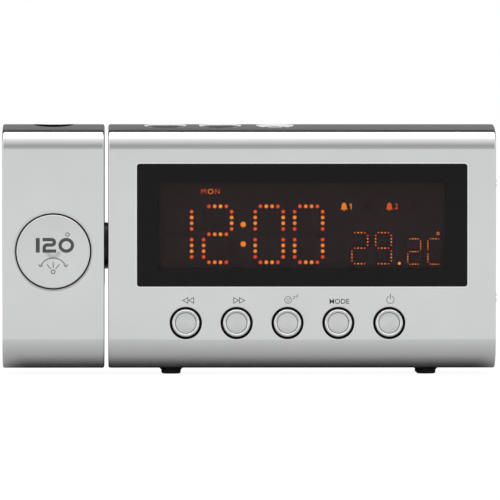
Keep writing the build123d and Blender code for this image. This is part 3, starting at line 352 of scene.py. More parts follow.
# %% Grain and unevenness of moulded plastic
def make_grain_group():
    """A fine noise is the grain, put out as a height. A slow noise less one half, times the unevenness,
    changes colour and roughness a little from place to place."""
    inputs = [("Vector", "Vector"), ("Colour", "Color"), ("Roughness", "Float")]
    inputs += [("Grains per Metre", "Float"), ("Unevenness", "Float")]
    outputs = [("Colour", "Color"), ("Roughness", "Float"), ("Height", "Float")]
    tree, start, end = new_group("moulded_grain", inputs, outputs)
    fine = noise(tree, start.outputs["Vector"], start.outputs["Grains per Metre"])
    slow = noise(tree, start.outputs["Vector"], 60.0, 3.0)
    swing = sums(tree, "SUBTRACT", slow, 0.5)
    change = sums(tree, "MULTIPLY", swing, start.outputs["Unevenness"])
    tree.links.new(brightened(tree, start.outputs["Colour"], change), end.inputs["Colour"])
    tree.links.new(sums(tree, "SUBTRACT", start.outputs["Roughness"], change), end.inputs["Roughness"])
    tree.links.new(fine, end.inputs["Height"])
    return tree


grain_group = make_grain_group()


# %% Marks of handling on gloss
def make_marks_group():
    """A slow, stretched noise, cut so that only its higher half counts, is added to the roughness."""
    inputs = [("Vector", "Vector"), ("Roughness", "Float"), ("Amount", "Float")]
    tree, start, end = new_group("handling_marks", inputs, [("Roughness", "Float")])
    smear = noise(tree, start.outputs["Vector"], 45.0, 5.0)
    above = sums(tree, "SUBTRACT", smear, 0.5)
    mark = sums(tree, "MAXIMUM", above, 0.0)
    added = sums(tree, "MULTIPLY_ADD", mark, start.outputs["Amount"], start.outputs["Roughness"])
    tree.links.new(added, end.inputs["Roughness"])
    return tree


marks_group = make_marks_group()


# %% A mask for a rectangle on a face
def make_panel_group():
    """How far a point is inside a rectangle centred on zero: the smaller of (half width - |x|) and
    (half height - |z|), divided by the softness of the edge and kept between 0 and 1."""
    inputs = [("Vector", "Vector"), ("Half Width", "Float"), ("Half Height", "Float"), ("Softness", "Float")]
    tree, start, end = new_group("panel_mask", inputs, [("Mask", "Float")])
    place = axes(tree, start.outputs["Vector"])
    insides = []
    for axis, half in (("X", "Half Width"), ("Z", "Half Height")):
        away = sums(tree, "ABSOLUTE", place[axis], 0.0)
        insides.append(sums(tree, "SUBTRACT", start.outputs[half], away))
    depth = sums(tree, "MINIMUM", insides[0], insides[1])
    soft = tree.nodes.new("ShaderNodeMath")
    soft.operation = "DIVIDE"
    soft.use_clamp = True
    tree.links.new(depth, soft.inputs[0])
    tree.links.new(start.outputs["Softness"], soft.inputs[1])
    tree.links.new(soft.outputs[0], end.inputs["Mask"])
    return tree


panel_group = make_panel_group()


# %% Satin in a hollow
def make_hollow_group():
    """Roughness that goes from an outer to an inner value as Y passes from one depth to the next, by Map
    Range. The rim of a key is polished by fingers, and the hollow behind it stays satin."""
    inputs = [("Vector", "Vector"), ("Start", "Float"), ("End", "Float"), ("Rim Roughness", "Float")]
    inputs += [("Hollow Roughness", "Float")]
    tree, start, end = new_group("satin_hollow", inputs, [("Roughness", "Float")])
    place = axes(tree, start.outputs["Vector"])
    span = tree.nodes.new("ShaderNodeMapRange")
    tree.links.new(place["Y"], span.inputs["Value"])
    for title, target in (("Start", "From Min"), ("End", "From Max"), ("Rim Roughness", "To Min"),
                          ("Hollow Roughness", "To Max")):
        tree.links.new(start.outputs[title], span.inputs[target])
    tree.links.new(span.outputs["Result"], end.inputs["Roughness"])
    return tree


hollow_group = make_hollow_group()
print(len(bpy.data.node_groups), "node groups")

# %% [markdown]
# ## Finishes
# A finish is one material: a Principled shader, a Texture Coordinate node that reads Object coordinates,
# and the groups it needs. Numbers that are the same all over stay on the shader's own sockets, and only what
# changes over the surface is linked.

# %% Start a finish and add a group to it
def start_finish(name, colour, roughness, **sockets):
    """A material with plain values. Keyword names are socket names with _ for a space."""
    material = bpy.data.materials.new(name)
    material.use_nodes = True
    shader = material.node_tree.nodes["Principled BSDF"]
    shader.inputs["Base Color"].default_value = (*colour, 1)
    shader.inputs["Roughness"].default_value = roughness
    for key, value in sockets.items():
        shader.inputs[key.replace("_", " ")].default_value = value
    return material


def place_group(material, group, centre=(0, 0, 0), **values):
    """Puts a group in a material, feeds it Object coordinates less a centre in millimetres, and sets the
    sockets named by keyword."""
    tree = material.node_tree
    node = tree.nodes.new("ShaderNodeGroup")
    node.node_tree = group
    where = tree.nodes.new("ShaderNodeTexCoord")
    shift = tree.nodes.new("ShaderNodeMapping")
    shift.inputs["Location"].default_value = [-value * mm for value in centre]
    tree.links.new(where.outputs["Object"], shift.inputs["Vector"])
    tree.links.new(shift.outputs["Vector"], node.inputs["Vector"])
    for key, value in values.items():
        node.inputs[key.replace("_", " ")].default_value = value
    return node


def feed(material, node, **targets):
    """Links outputs of a group node to sockets of the shader: feed(material, node, Colour="Base Color")."""
    shader = material.node_tree.nodes["Principled BSDF"]
    for output, target in targets.items():
        material.node_tree.links.new(node.outputs[output], shader.inputs[target])


def roughen(material, height, depth):
    """Feeds a height to the shader's normal by a Bump node of that real depth in millimetres."""
    tree = material.node_tree
    bump = tree.nodes.new("ShaderNodeBump")
    bump.inputs["Distance"].default_value = depth * mm
    tree.links.new(height, bump.inputs["Height"])
    tree.links.new(bump.outputs["Normal"], tree.nodes["Principled BSDF"].inputs["Normal"])


# %% Silver paint and its relations on the keys and trim
def painted(name, colour, roughness, metallic, sparkle):
    """Metallic paint on plastic: flakes of about a quarter of a millimetre over a fine grain."""
    material = start_finish(name, colour, roughness, Metallic=metallic)
    flakes = place_group(material, flake_group, Colour=(*colour, 1), Roughness=roughness,
                         Flakes_per_Metre=4200.0, Sparkle=sparkle)
    grain = place_group(material, grain_group, Grains_per_Metre=2600.0, Unevenness=0.05)
    material.node_tree.links.new(flakes.outputs["Colour"], grain.inputs["Colour"])
    material.node_tree.links.new(flakes.outputs["Roughness"], grain.inputs["Roughness"])
    feed(material, grain, Colour="Base Color", Roughness="Roughness")
    roughen(material, grain.outputs["Height"], 0.0004)
    return material


silver_paint = painted("silver_paint", (0.735, 0.74, 0.745), 0.12, 0.93, 0.012)
disc_silver = painted("disc_silver", (0.82, 0.825, 0.83), 0.26, 0.88, 0.012)
key_silver = painted("key_silver", (0.83, 0.835, 0.84), 0.12, 0.88, 0.012)
key_grey = painted("key_grey", (0.12, 0.123, 0.13), 0.4, 0.4, 0.03)
key_bright = painted("key_bright", (0.8, 0.8, 0.8), 0.3, 0.5, 0.01)
# A whiter silver for a painted highlight: the thin bright line round the window.
painted_highlight_silver = painted("painted_highlight_silver", (0.93, 0.93, 0.93), 0.2, 0.9, 0.01)
# A near-white paint for painted highlights on the walls of the key dishes.
dish_painted_highlight = painted("dish_painted_highlight", (0.9, 0.9, 0.9), 0.5, 0.2, 0.01)
hollow = place_group(key_silver, hollow_group, Start=-23.82 * mm, End=-23.6 * mm, Rim_Roughness=0.12,
                     Hollow_Roughness=0.35)
feed(key_silver, hollow, Roughness="Roughness")
print("painted finishes done")


# %% Moulded plastics, rubber and paper
def moulded(name, colour, roughness, grain_size, depth, unevenness=0.15, **sockets):
    """Moulded plastic: a grain of the given size and depth in millimetres, a little uneven all over."""
    material = start_finish(name, colour, roughness, **sockets)
    grain = place_group(material, grain_group, Colour=(*colour, 1), Roughness=roughness,
                        Grains_per_Metre=1 / (grain_size * mm), Unevenness=unevenness)
    feed(material, grain, Colour="Base Color", Roughness="Roughness")
    roughen(material, grain.outputs["Height"], depth)
    return material


black_plastic = moulded("black_plastic", (0.014, 0.014, 0.015), 0.38, 0.25, 0.02)
# A matt black for the lens parts, also used for painted shade: black rings in the gaps round the keys and the
# disc, and at each key's rim.
black_and_painted_shade = moulded("black_and_painted_shade", (0.008, 0.008, 0.008), 0.8, 0.25, 0.01, 0.2, Specular_IOR_Level=0.02)
white_plastic = moulded("white_plastic", (0.78, 0.77, 0.74), 0.45, 0.3, 0.01, 0.06)
foot_rubber = moulded("foot_rubber", (0.018, 0.018, 0.018), 0.75, 0.4, 0.03, 0.3)
lead_sheath = moulded("lead_sheath", (0.03, 0.03, 0.032), 0.5, 0.3, 0.01, 0.2)
speaker_paper = moulded("speaker_paper", (0.045, 0.042, 0.04), 0.9, 0.5, 0.06, 0.5)
lamp_resin = moulded("lamp_resin", (0.85, 0.55, 0.2), 0.25, 0.4, 0.005, 0.1)
print("moulded finishes done")


# %% Steel
steel = start_finish("steel", (0.58, 0.57, 0.55), 0.3, Metallic=1.0)
wear = place_group(steel, grain_group, Colour=(0.58, 0.57, 0.55, 1), Roughness=0.3,
                   Grains_per_Metre=1800.0, Unevenness=0.35)
feed(steel, wear, Colour="Base Color", Roughness="Roughness")
roughen(steel, wear.outputs["Height"], 0.006)


# %% [markdown]
# The boards are green resin over glass cloth, with copper tracks that show as paler lines under the lacquer.
# A brick pattern gives short straight tracks without drawing any, and the grain group adds the cloth.

# %% Circuit board
def make_board():
    """Two greens laid out by a Brick texture of long thin bricks, with its mortar as the tracks."""
    material = moulded("circuit_board", (0.02, 0.10, 0.045), 0.35, 0.6, 0.02, 0.2)
    tree = material.node_tree
    where = tree.nodes.new("ShaderNodeTexCoord")
    turn = tree.nodes.new("ShaderNodeMapping")
    turn.inputs["Rotation"].default_value = (math.radians(90), 0, 0)
    tracks = tree.nodes.new("ShaderNodeTexBrick")
    tracks.inputs["Color1"].default_value = (0.02, 0.10, 0.045, 1)
    tracks.inputs["Color2"].default_value = (0.025, 0.12, 0.055, 1)
    tracks.inputs["Mortar"].default_value = (0.06, 0.22, 0.10, 1)
    tracks.inputs["Scale"].default_value = 160.0
    tracks.inputs["Mortar Size"].default_value = 0.05
    tree.links.new(where.outputs["Object"], turn.inputs["Vector"])
    tree.links.new(turn.outputs["Vector"], tracks.inputs["Vector"])
    tree.links.new(tracks.outputs["Color"], tree.nodes["Principled BSDF"].inputs["Base Color"])
    return material


circuit_board = make_board()

# %% [markdown]
# ## The smoked window
# The window is a tinted sheet with a black border printed on its back, so its rim is opaque and its middle
# lets the display through. Here the border is a mask: it drives Alpha and Base Color. The sheet's real gloss
# is lower than glass, so the specular level on the shader's own socket is turned down.

# %% Window
active_middle = (20.55, 0, 60.75)
active_half_width = 58.3
active_half_height = 17.75
border_black = (0.0035, 0.0035, 0.0038, 1)
smoke_brown = (0.012, 0.006, 0.006, 1)
seen_through = 0.7

smoked_window = start_finish("smoked_window", border_black[:3], 0.04, Specular_IOR_Level=0.17)
tree = smoked_window.node_tree
panel = place_group(smoked_window, panel_group, active_middle, Half_Width=active_half_width * mm,
                    Half_Height=active_half_height * mm, Softness=0.25 * mm)
tint = blended(tree, border_black, smoke_brown, panel.outputs["Mask"])
tree.links.new(tint, tree.nodes["Principled BSDF"].inputs["Base Color"])
tree.links.new(sums(tree, "MULTIPLY_ADD", panel.outputs["Mask"], -seen_through, 1.0),
               tree.nodes["Principled BSDF"].inputs["Alpha"])
marks = place_group(smoked_window, marks_group, Roughness=0.04, Amount=0.25)
feed(smoked_window, marks, Roughness="Roughness")

# %% Display face, lenses, slide
display_face = moulded("display_face", (0.062, 0.032, 0.038), 0.5, 0.3, 0.004, 0.2)
clear_lens = start_finish("clear_lens", (0.93, 0.95, 0.95), 0.03, Transmission_Weight=1.0, IOR=1.49)
lens_marks = place_group(clear_lens, marks_group, Roughness=0.03, Amount=0.2)
feed(clear_lens, lens_marks, Roughness="Roughness")

slide_film = moulded("slide_film", (0.05, 0.045, 0.05), 0.12, 0.4, 0.003, 0.3)
print("window, display, lens and slide finishes done")

# %% [markdown]
# ## Dressing the solids
# Every solid keeps its shape and gets one of the finishes above, set in its own material slots.

# %% Give each solid its finish
dressing = {
    silver_paint: "front_casing rear_casing projector_front_casing projector_rear_casing battery_cover",
    disc_silver: "projection_key",
    key_silver: "back_key forward_key sleep_key mode_key power_key",
    key_grey: "first_alarm_key second_alarm_key",
    key_bright: "snooze_key",
    smoked_window: "display_window",
    display_face: "display_panel",
    white_plastic: "light_box",
    lamp_resin: "backlight_lamps projection_lamp",
    circuit_board: "main_board top_key_board tuner_board lamp_board projection_switch_board",
    black_and_painted_shade: "focus_ring lens_barrel optic_frame",
    black_plastic: "swivel_hub front_key_switches top_key_switches projection_switch lead_socket lead_plug "
                   "board_header volume_wheel tuning_wheel volume_control tuning_control power_inlet",
    steel: "board_screws hub_screws hub_clip friction_washer projector_board_screws "
           "projector_casing_screws rear_casing_screws battery_contacts volume_spindle tuning_spindle "
           "speaker_frame speaker_magnet",
    foot_rubber: "foot_front_left foot_front_right foot_rear_left foot_rear_right",
    lead_sheath: "projector_lead",
    clear_lens: "projection_lens condenser_lens",
    slide_film: "time_slide",
    speaker_paper: "speaker_cone",
}
for material, names in dressing.items():
    for name in names.split():
        for holder in nodes[name].material_slots:
            holder.material = material
undressed = set(nodes) - {name for names in dressing.values() for name in names.split()}
print("solids left without a finish:", sorted(undressed))

# %% [markdown]
# ## The lit display
# The digits are made of round dots, four to a stroke, and every dot that isn't lit still shows, by a faint
# painted glow. One dot is a low dome of a few faces. Its copies are placed by adding an array of places to an
# array of points. Each dot also carries a number, dot_heat, which the material turns into its colour.

# %% Where the dots of a digit go
display_x, display_z = 20.55, 60.88
panel_front = 21.45
strokes_of = {"0": "abcdef", "1": "bc", "2": "abged", "9": "abcdfg", "C": "adef"}
middle_heat, end_heat = 0.12, 0.62


def digit_dots(symbol, left, width, rows, across_pitch, up_pitch):
    """Lit and unlit dots of a seven-stroke digit, as two lists of (across, up, heat). The four dots of a
    stroke are spaced evenly about its middle: middle + pitch * (k - 1.5). The end ones are hotter."""
    top, waist, bottom = rows
    right = left + width
    middle = (left + right) / 2
    steps = np.arange(4) - 1.5
    heats = np.where(np.abs(steps) > 1, end_heat, middle_heat)
    level = {"a": (middle, top), "g": (middle, waist), "d": (middle, bottom)}
    upright = {"f": (left, (top + waist) / 2), "b": (right, (top + waist) / 2),
               "e": (left, (waist + bottom) / 2), "c": (right, (waist + bottom) / 2)}
    places = {name: [(x + step * across_pitch, z, heat) for step, heat in zip(steps, heats)]
              for name, (x, z) in level.items()}
    places.update({name: [(x, z + step * up_pitch, heat) for step, heat in zip(steps, heats)]
                   for name, (x, z) in upright.items()})
    lit = [place for name in strokes_of[symbol] for place in places[name]]
    unlit = [place for name in places if name not in strokes_of[symbol] for place in places[name]]
    return lit, unlit


def in_window(places):
    """Offsets from the display's middle as points (right, up, forward) on the display's face."""
    places = np.array(places, float)
    across = places[:, :1] + display_x
    up = places[:, 1:2] + display_z
    return np.hstack((across, up, np.full((len(places), 1), panel_front)))


# %% Lay out the time and the temperature
def laid_out(digits):
    """The lit and the unlit dots of several digits together."""
    lit, unlit = [], []
    for digit in digits:
        on, off = digit_dots(*digit)
        lit += on
        unlit += off
    return lit, unlit


big_form = (11.35, (7.36, -3.95, -15.3), 2.35, 2.33)
small_form = (6.4, (-3.3, -9.6, -15.9), 1.33, 1.305)
tiny_rows = (-5.8, -11.0, -16.1)
big_dots, big_unlit = laid_out([("1", -56.1, *big_form), ("2", -39.9, *big_form), ("0", -19.0, *big_form),
                                 ("0", -3.0, *big_form)])
small_dots, small_unlit = laid_out([("2", 20.2, *small_form), ("9", 29.8, *small_form)])
tiny_dots, tiny_unlit = laid_out([("2", 42.85, 5.2, tiny_rows, 1.084, 1.06),
                                   ("C", 51.0, 5.37, tiny_rows, 1.09, 1.06)])
colon_dots = [(-23.85, 0.03, 0.1), (-23.85, -7.9, 0.3)]
decimal_point = [(39.43, -15.75, 0.1)]
print(len(big_dots), "large,", len(small_dots), "small and", len(tiny_dots), "tiny dots are lit")

# %% [markdown]
# A lit dot is a bright spot with a redder rim, because the light behind it is strongest in the middle. So
# each point of a dot's mesh carries the dot's own heat plus more towards the rim, and a material reads it.

# %% Domed dots as one mesh each
rim_heat = 0.6
heat_spread = 0.12
dot_rise, dot_sides = 0.1, 12
panel_ink = 0.06
chance = np.random.default_rng(12)


def dots(places, diameter):
    """All dots of one size, as points, faces and the heat of every point. A dot is a low dome of rings
    (R cos a, dot_rise sin a). Its heat is its own, changed by chance, plus rim_heat * (r / R) squared."""
    angle = np.radians([0, 35, 65])
    rings = [(diameter / 2 * math.cos(a), dot_rise * math.sin(a)) for a in angle]
    points, faces = turned([(0, 0)] + rings + [(0, dot_rise)], dot_sides)
    places = np.array(places, float)
    own = places[:, 2:3] + chance.uniform(-heat_spread, heat_spread, (len(places), 1))
    rim = (points[:, 0] ** 2 + points[:, 1] ** 2) / (diameter / 2) ** 2
    heat = own + rim_heat * rim[None, :]
    many, faces = repeated(points, faces, in_window(places))
    return many, faces, heat.reshape(-1)


def panel_words(words, height, across, up, spacing=1.0):
    """Lettering on the display's face, its middle at an offset from the display's middle."""
    points, faces = lettering(words, height, (display_x + across, display_z + up), panel_ink, 0.0, spacing)
    points[:, 2] += panel_front
    return points, faces


def on_panel(shapes):
    """Moves flat shapes given as offsets from the display's middle onto the display's face."""
    points, faces = joined(shapes)
    return points + np.array((display_x, display_z, panel_front)), faces


def bell(across, up, height):
    """A bell seen from the front: a dome, a flared skirt and a clapper, as two plates."""
    side = [(0.42, -0.35), (0.30, -0.22), (0.27, 0.05), (0.23, 0.25), (0.12, 0.38)]
    outline = np.array([(x, z) for x, z in side] + [(0, 0.42)] + [(-x, z) for x, z in side[::-1]])
    clapper = arc((0, -0.44), 0.08, 0, 330, 10)
    return on_panel([plate(form * height + np.array((across, up)), panel_ink) for form in (outline, clapper)])


def numeral_one(across, up, height):
    """A small 1: an upright bar, and a short flag down to the left from its top."""
    half, right = height / 2, across + 0.12 * height
    bar = stroke([(right, up - half), (right, up + half)], 0.17 * height, panel_ink, False)
    flag_path = [(right, up + 0.43 * height), (right - 0.32 * height, up + 0.2 * height)]
    flag = stroke(flag_path, 0.13 * height, panel_ink, False)
    return on_panel([bar, flag])


# %% Glow that follows a dot's heat
def make_glow(name, cool, hot, strength):
    """Light given off by the display: a Mix of two colours by the dot_heat attribute, as Emission Color."""
    material = start_finish(name, (0.02, 0.01, 0.01), 0.5, Emission_Strength=strength)
    tree = material.node_tree
    heat = tree.nodes.new("ShaderNodeAttribute")
    heat.attribute_name = "dot_heat"
    colour = blended(tree, (*cool, 1), (*hot, 1), heat.outputs["Fac"])
    tree.links.new(colour, tree.nodes["Principled BSDF"].inputs["Emission Color"])
    return material


display_glow = make_glow("display_glow", (0.88, 0.34, 0.03), (0.50, 0.03, 0.008), 2.0)
# Unlit dots and words give off no light: this faint emission is a painted glow.
unlit_painted_glow = make_glow("unlit_painted_glow", (0.012, 0.009, 0.010), (0.014, 0.007, 0.008), 1.0)


def show(name, shapes, material):
    """Adds a display piece on the clock's body from (points, faces, heat) in millimetres. The heat is stored
    as a number on every point."""
    points, faces = joined([shape[:2] for shape in shapes])
    piece = add_piece(name, to_front(points) * mm, faces, "clock_body", material)
    layer = piece.data.attributes.new("dot_heat", "FLOAT", "POINT")
    layer.data.foreach_set("value", np.concatenate([shape[2] for shape in shapes]).astype(np.float32))


def heated(shape, heat):
    """A (points, faces) pair with the same heat on all its points."""
    return shape[0], shape[1], np.full(len(shape[0]), heat)


# %% The digits
big_size, small_size, tiny_size, colon_size, point_size = 1.62, 0.68, 0.62, 2.4, 1.3
degree_ring = stroke(arc((55.13, -3.63), 0.5, 0, 330, 12), 0.25, panel_ink, True)
show("digit_dots", [dots(big_dots, big_size)], display_glow)
show("colon_dots", [dots(colon_dots, colon_size)], display_glow)
show("temperature_dots", [dots(small_dots, small_size), dots(tiny_dots, tiny_size),
                          dots(decimal_point, point_size), heated(on_panel([degree_ring]), 0.5)],
     display_glow)
show("unlit_dots", [dots(big_unlit, big_size), dots(small_unlit, small_size), dots(tiny_unlit, tiny_size)],
     unlit_painted_glow)

# %% The row of days and the row of alarms
days = {"PM": -50.5, "TUE": -21.8, "WED": -6.8, "THU": 7.8, "FRI": 21.5, "SAT": 33.7, "SUN": 47.2}
day_row, day_height, alarm_row = 13.4, 2.1, 7.35
unlit_words = [panel_words(word, day_height, across, day_row, 1.2) for word, across in days.items()]
unlit_words += [bell(26.6, alarm_row, 3.6), numeral_one(29.0, alarm_row, 2.2)]
unlit_words += [bell(45.0, alarm_row, 3.6), panel_words("2", 2.2, 47.6, alarm_row)]
show("unlit_words", [heated(word, 0.0) for word in unlit_words], unlit_painted_glow)
monday_across, half_letter = -37.1, 1.3
monday = panel_words("MON", day_height, monday_across, day_row, 1.25)
from_middle = np.abs(monday[0][:, 0] - display_x - monday_across)
monday_heat = np.where(from_middle < half_letter, 0.4, 0.9)
show("lit_words", [(*monday, monday_heat), heated(bell(17.0, alarm_row, 3.6), 0.45),
                   heated(numeral_one(19.6, alarm_row, 2.3), 0.45), heated(bell(35.4, alarm_row, 3.6), 0.85),
                   heated(panel_words("2", 2.3, 38.2, alarm_row), 0.85)], display_glow)

# %% [markdown]
# ## Trim round the window and the keys
# The edge of the window's recess shows as one thin bright line, a painted highlight: a flat strip of
# whiter silver. The gap round each key and round the disc is filled with a black ring of painted shade, and
# a fine black ring of painted shade parts each key's rim from its hollow.

# %% Painted highlight round the window, painted shade in the gaps and at the rims
front_plane = 23.75
key_names = ["back_key", "forward_key", "sleep_key", "mode_key", "power_key"]
first_key_x, key_pitch = -26.6, 20.6
key_x = [first_key_x + key_pitch * step for step in range(len(key_names))]
key_z = 21.0
disc_centre = (-80.25, 50.0)
key_sides, disc_sides = 64, 128


def fitted(name, shapes, body, material):
    """Adds trim from (right, up, forward) shapes whose height 0 is the front plane."""
    points, faces = joined(shapes)
    points = points + np.array((0, 0, front_plane))
    add_piece(name, to_front(points) * mm, faces, body, material)


window_centre, window_width, window_height, edge_width = (20.55, 60.65), 134.0, 49.9, 0.42
window_outline = rounded_box(window_centre, window_width + edge_width, window_height + edge_width, 1.4)
# A flat strip of whiter silver: a painted highlight on the edge of the window's recess.
fitted("window_edge_highlight", [stroke(window_outline, 0.4, 0.03, True)], "clock_body", painted_highlight_silver)
# Black rings of painted shade: in the gap round each key and round the disc, and at the step between each
# key's rim and its hollow.
gap_shade_section = [(5.66, -1.6), (6.17, -1.6), (6.17, -0.34), (6.48, -0.15), (6.48, -0.06), (5.95, -0.36),
                  (5.66, -0.42)]
fitted("key_gap_shade_rings", [hoop(gap_shade_section, key_sides, (x, key_z)) for x in key_x], "clock_body",
       black_and_painted_shade)
disc_gap_shade_section = [(14.94, -1.6), (15.17, -1.6), (15.17, -0.7), (15.42, -0.56), (15.42, -0.45), (14.94, -0.62)]
bevel_section = [(15.43, -0.62), (16.25, -0.3), (16.25, -0.075), (15.95, -0.1)]
fitted("disc_bevel", [hoop(bevel_section, disc_sides, disc_centre)], "projector", silver_paint)
fitted("disc_gap_shade_ring", [hoop(disc_gap_shade_section, disc_sides, disc_centre)], "projector", black_and_painted_shade)
groove_shade_section = [(4.08, -0.38), (4.4, -0.38), (4.4, -0.13), (4.08, -0.2)]
for name, x in zip(key_names, key_x):
    fitted(name + "_groove_shade", [hoop(groove_shade_section, key_sides, (x, key_z))], name, black_and_painted_shade)

# %% [markdown]
# The lens and the top keys sit in round dishes in the crowned top. A dish is a piece of a ball, and the top
# is a piece of a wide cylinder, so the rim of a dish isn't flat: it is where the two heights are equal. The
# walls of the key dishes carry painted highlights: thin near-white linings, a wide one in the snooze key's
# dish and a narrow one under the rim of the other two. The dish of the lens has a matt black liner against
# stray light, which carries on over its front edge as a thin black surround.

# %% Where a dish meets the crown
middle_y, body_top, crown_radius = 0.25, 101.5, 70.0
dish_turn = np.arange(96) * 2 * np.pi / 96


def crown_fall(y):
    """How far the crowned top is below its highest line at a distance y from it: R - sqrt(R * R - y * y)."""
    return crown_radius - np.sqrt(crown_radius ** 2 - y ** 2)


class Dish:
    """A dish of a rim radius and a sag, cut at a place on the crown, with its axis tilted forwards by an
    angle. Heights are counted from the crown at the dish's middle, along the axis. The rim is, at each angle,
    the largest of 500 distances at which the ball is still lower than the crown."""

    def __init__(self, x, y, radius, sag, tilt):
        self.x, self.y, self.tilt = x, y, tilt
        self.ball = (radius ** 2 + sag ** 2) / (2 * sag)
        self.sag = sag
        reach = np.linspace(0.6 * radius, 1.15 * radius, 500)[:, None]
        off = y - middle_y
        level = reach * np.sin(dish_turn)
        crown = crown_fall(off) - crown_fall(off + level) if tilt == 0 else -crown_fall(level)
        self.rim = np.where(self.height(reach) < crown, reach, 0).max(axis=0)

    def height(self, reach):
        """The lower half of the ball: ball - sag - sqrt(ball * ball - r * r)."""
        return self.ball - self.sag - np.sqrt(self.ball ** 2 - reach ** 2)

    def placed(self, reach, height):
        """Points at (reach, height) over the circle, tilted about X and moved to the dish's middle."""
        across, along = reach * np.cos(dish_turn), reach * np.sin(dish_turn)
        back = along * math.cos(self.tilt) - height * math.sin(self.tilt)
        up = along * math.sin(self.tilt) + height * math.cos(self.tilt)
        top = body_top - crown_fall(self.y - middle_y)
        return np.stack((self.x + across, self.y + back, top + up), axis=-1).reshape(-1, 3)


key_row_y = -7.25
top_tilt = math.asin((middle_y - key_row_y) / crown_radius)
lens_dish = Dish(disc_centre[0], -2.95, 7.8, 1.9, 0.0)
key_dishes = [Dish(x, key_row_y, radius, 1.6, top_tilt)
              for x, radius in ((-34.8, 8.7), (-12.5, 8.7), (9.8, 7.8))]
for dish in [lens_dish] + key_dishes:
    print("rim from", round(float(dish.rim.min()), 2), "to", round(float(dish.rim.max()), 2), "mm")

# %% Linings and the surround
def lining(dish, inner):
    """A thin lining of a dish up to just inside its rim, as a closed ring. It starts at a radius or, where
    that is negative, at that distance inside the rim."""
    count, rim_gap, under, over = 7, 0.06, 0.002, 0.03
    share = np.linspace(0, 1, count)[:, None]
    start = inner if inner > 0 else dish.rim + inner
    reach = start + share * (dish.rim - rim_gap - start)
    both = np.concatenate((reach, reach[::-1]))
    lift = np.repeat([under, over], count)[:, None]
    return dish.placed(both, dish.height(both) + lift), hoop_faces(2 * count, len(dish_turn))


def surround(dish, least, most):
    """A thin black plate on the crown round a dish. Its width is least at the back and most at the front:
    least + (most - least) * max(0, -sin t)."""
    outer = dish.rim + least + (most - least) * np.maximum(0, -np.sin(dish_turn))
    lap, under, over = 0.03, -0.05, 0.035
    reach = np.stack((dish.rim - lap, outer, outer, dish.rim - lap))
    points = dish.placed(reach, 0 * reach)
    lift = np.repeat([under, under, over, over], len(dish_turn))
    points[:, 2] = body_top - crown_fall(points[:, 1] - middle_y) + lift
    return points, hoop_faces(4, len(dish_turn))


def in_dish(name, shape, body, material):
    """Adds a piece from points in the room in millimetres."""
    add_piece(name, shape[0] * mm, shape[1], body, material)


in_dish("lens_dish_liner", lining(lens_dish, 5.95), "projector", black_and_painted_shade)
in_dish("lens_dish_surround", surround(lens_dish, 0.15, 2.6), "projector", black_and_painted_shade)
# Near-white linings: painted highlights on the walls of the key dishes.
in_dish("snooze_dish_highlight", lining(key_dishes[2], -2.6), "clock_body", dish_painted_highlight)
in_dish("key_dish_rim_highlights", joined([lining(dish, -1.15) for dish in key_dishes[:2]]), "clock_body", dish_painted_highlight)

# %% [markdown]
# ## Printed symbols
# The symbols above the keys are thin grey ink. A line of ink is a stroke: a rectangle carried along a path,
# 0.02 mm thick, which stands on the casing as the real ink does. Drawing it as geometry keeps its edge sharp
# at any distance and leaves the paint's material alone.

# %% Ink on the front
ink_height = 0.02
symbol_z = 30.18
ink_grey = moulded("ink_grey", (0.16, 0.165, 0.17), 0.5, 0.2, 0.002, 0.1)
ink_dark = moulded("ink_dark", (0.085, 0.088, 0.09), 0.5, 0.2, 0.002, 0.1)


def printed(name, shapes, material):
    """Adds ink on the clock's front from shapes with height 0 at the surface, sunk a little into it."""
    points, faces = joined(shapes)
    points[:, 2] += front_plane - ink_height / 4
    add_piece(name, to_front(points) * mm, faces, "clock_body", material)


def triangle(base, tip, middle, half_height):
    """The corners of a triangle that points from its upright side at base to its tip, anticlockwise."""
    corners = [(base, middle - half_height), (base, middle + half_height), (tip, middle)]
    return corners if tip < base else corners[::-1]


arrows = {"back_symbol": ((-25.75, -23.4), -2.05), "forward_symbol": ((-7.2, -4.85), 2.05)}
for name, (bases, reach_out) in arrows.items():
    pair = [triangle(base, base + reach_out, symbol_z, 1.15) for base in bases]
    printed(name, [stroke(corners, 0.3, ink_height, True) for corners in pair], ink_grey)

# %% Sleep, mode and power
sleep_at = np.array((14.82, 30.36))
zed = np.array([(-0.5, 0.5), (0.5, 0.5), (-0.5, -0.5), (0.5, -0.5)])
sleeper = [stroke(arc(sleep_at, 1.38, 0, 350, 36), 0.24, ink_height, True)]
sleeper += [plate(arc(sleep_at + (way * 0.52, 0.36), 0.27, 0, 330, 12), ink_height) for way in (-1, 1)]
sleeper += [stroke(arc(sleep_at + (0, -1.0), 0.55, 145, 35, 10), 0.28, ink_height, False)]
sleeper += [stroke(zed * 0.8 + sleep_at + place, 0.2, ink_height, False)
            for place in ((2.43, 0.95), (3.67, 1.6))]
printed("sleep_symbol", sleeper, ink_grey)
printed("mode_word", [lettering("MODE", 2.06, (35.6, 29.8), ink_height, 0.012, 1.02)], ink_dark)
power_x, power_z = 56.27, 30.44
power = [stroke(arc((power_x, power_z), 1.5, 112, 428, 36), 0.26, ink_height, False)]
power += [stroke([(power_x, power_z + 0.25), (power_x, power_z + 2.43)], 0.3, ink_height, False)]
printed("power_symbol", power, ink_grey)

# %% [markdown]
# ## Print on the projector's key
# The key's face is a shallow dome, so the ink has to follow it. The number is drawn as bold strokes along
# paths with many points, and then each point is moved back by the dome's fall: R - sqrt(R * R - r * r), where
# r is its distance from the middle.

# %% Ink on the dome
disc_front = 24.25
dome_radius = 345.0
dome_ink, dome_sunk = 0.02, 0.006


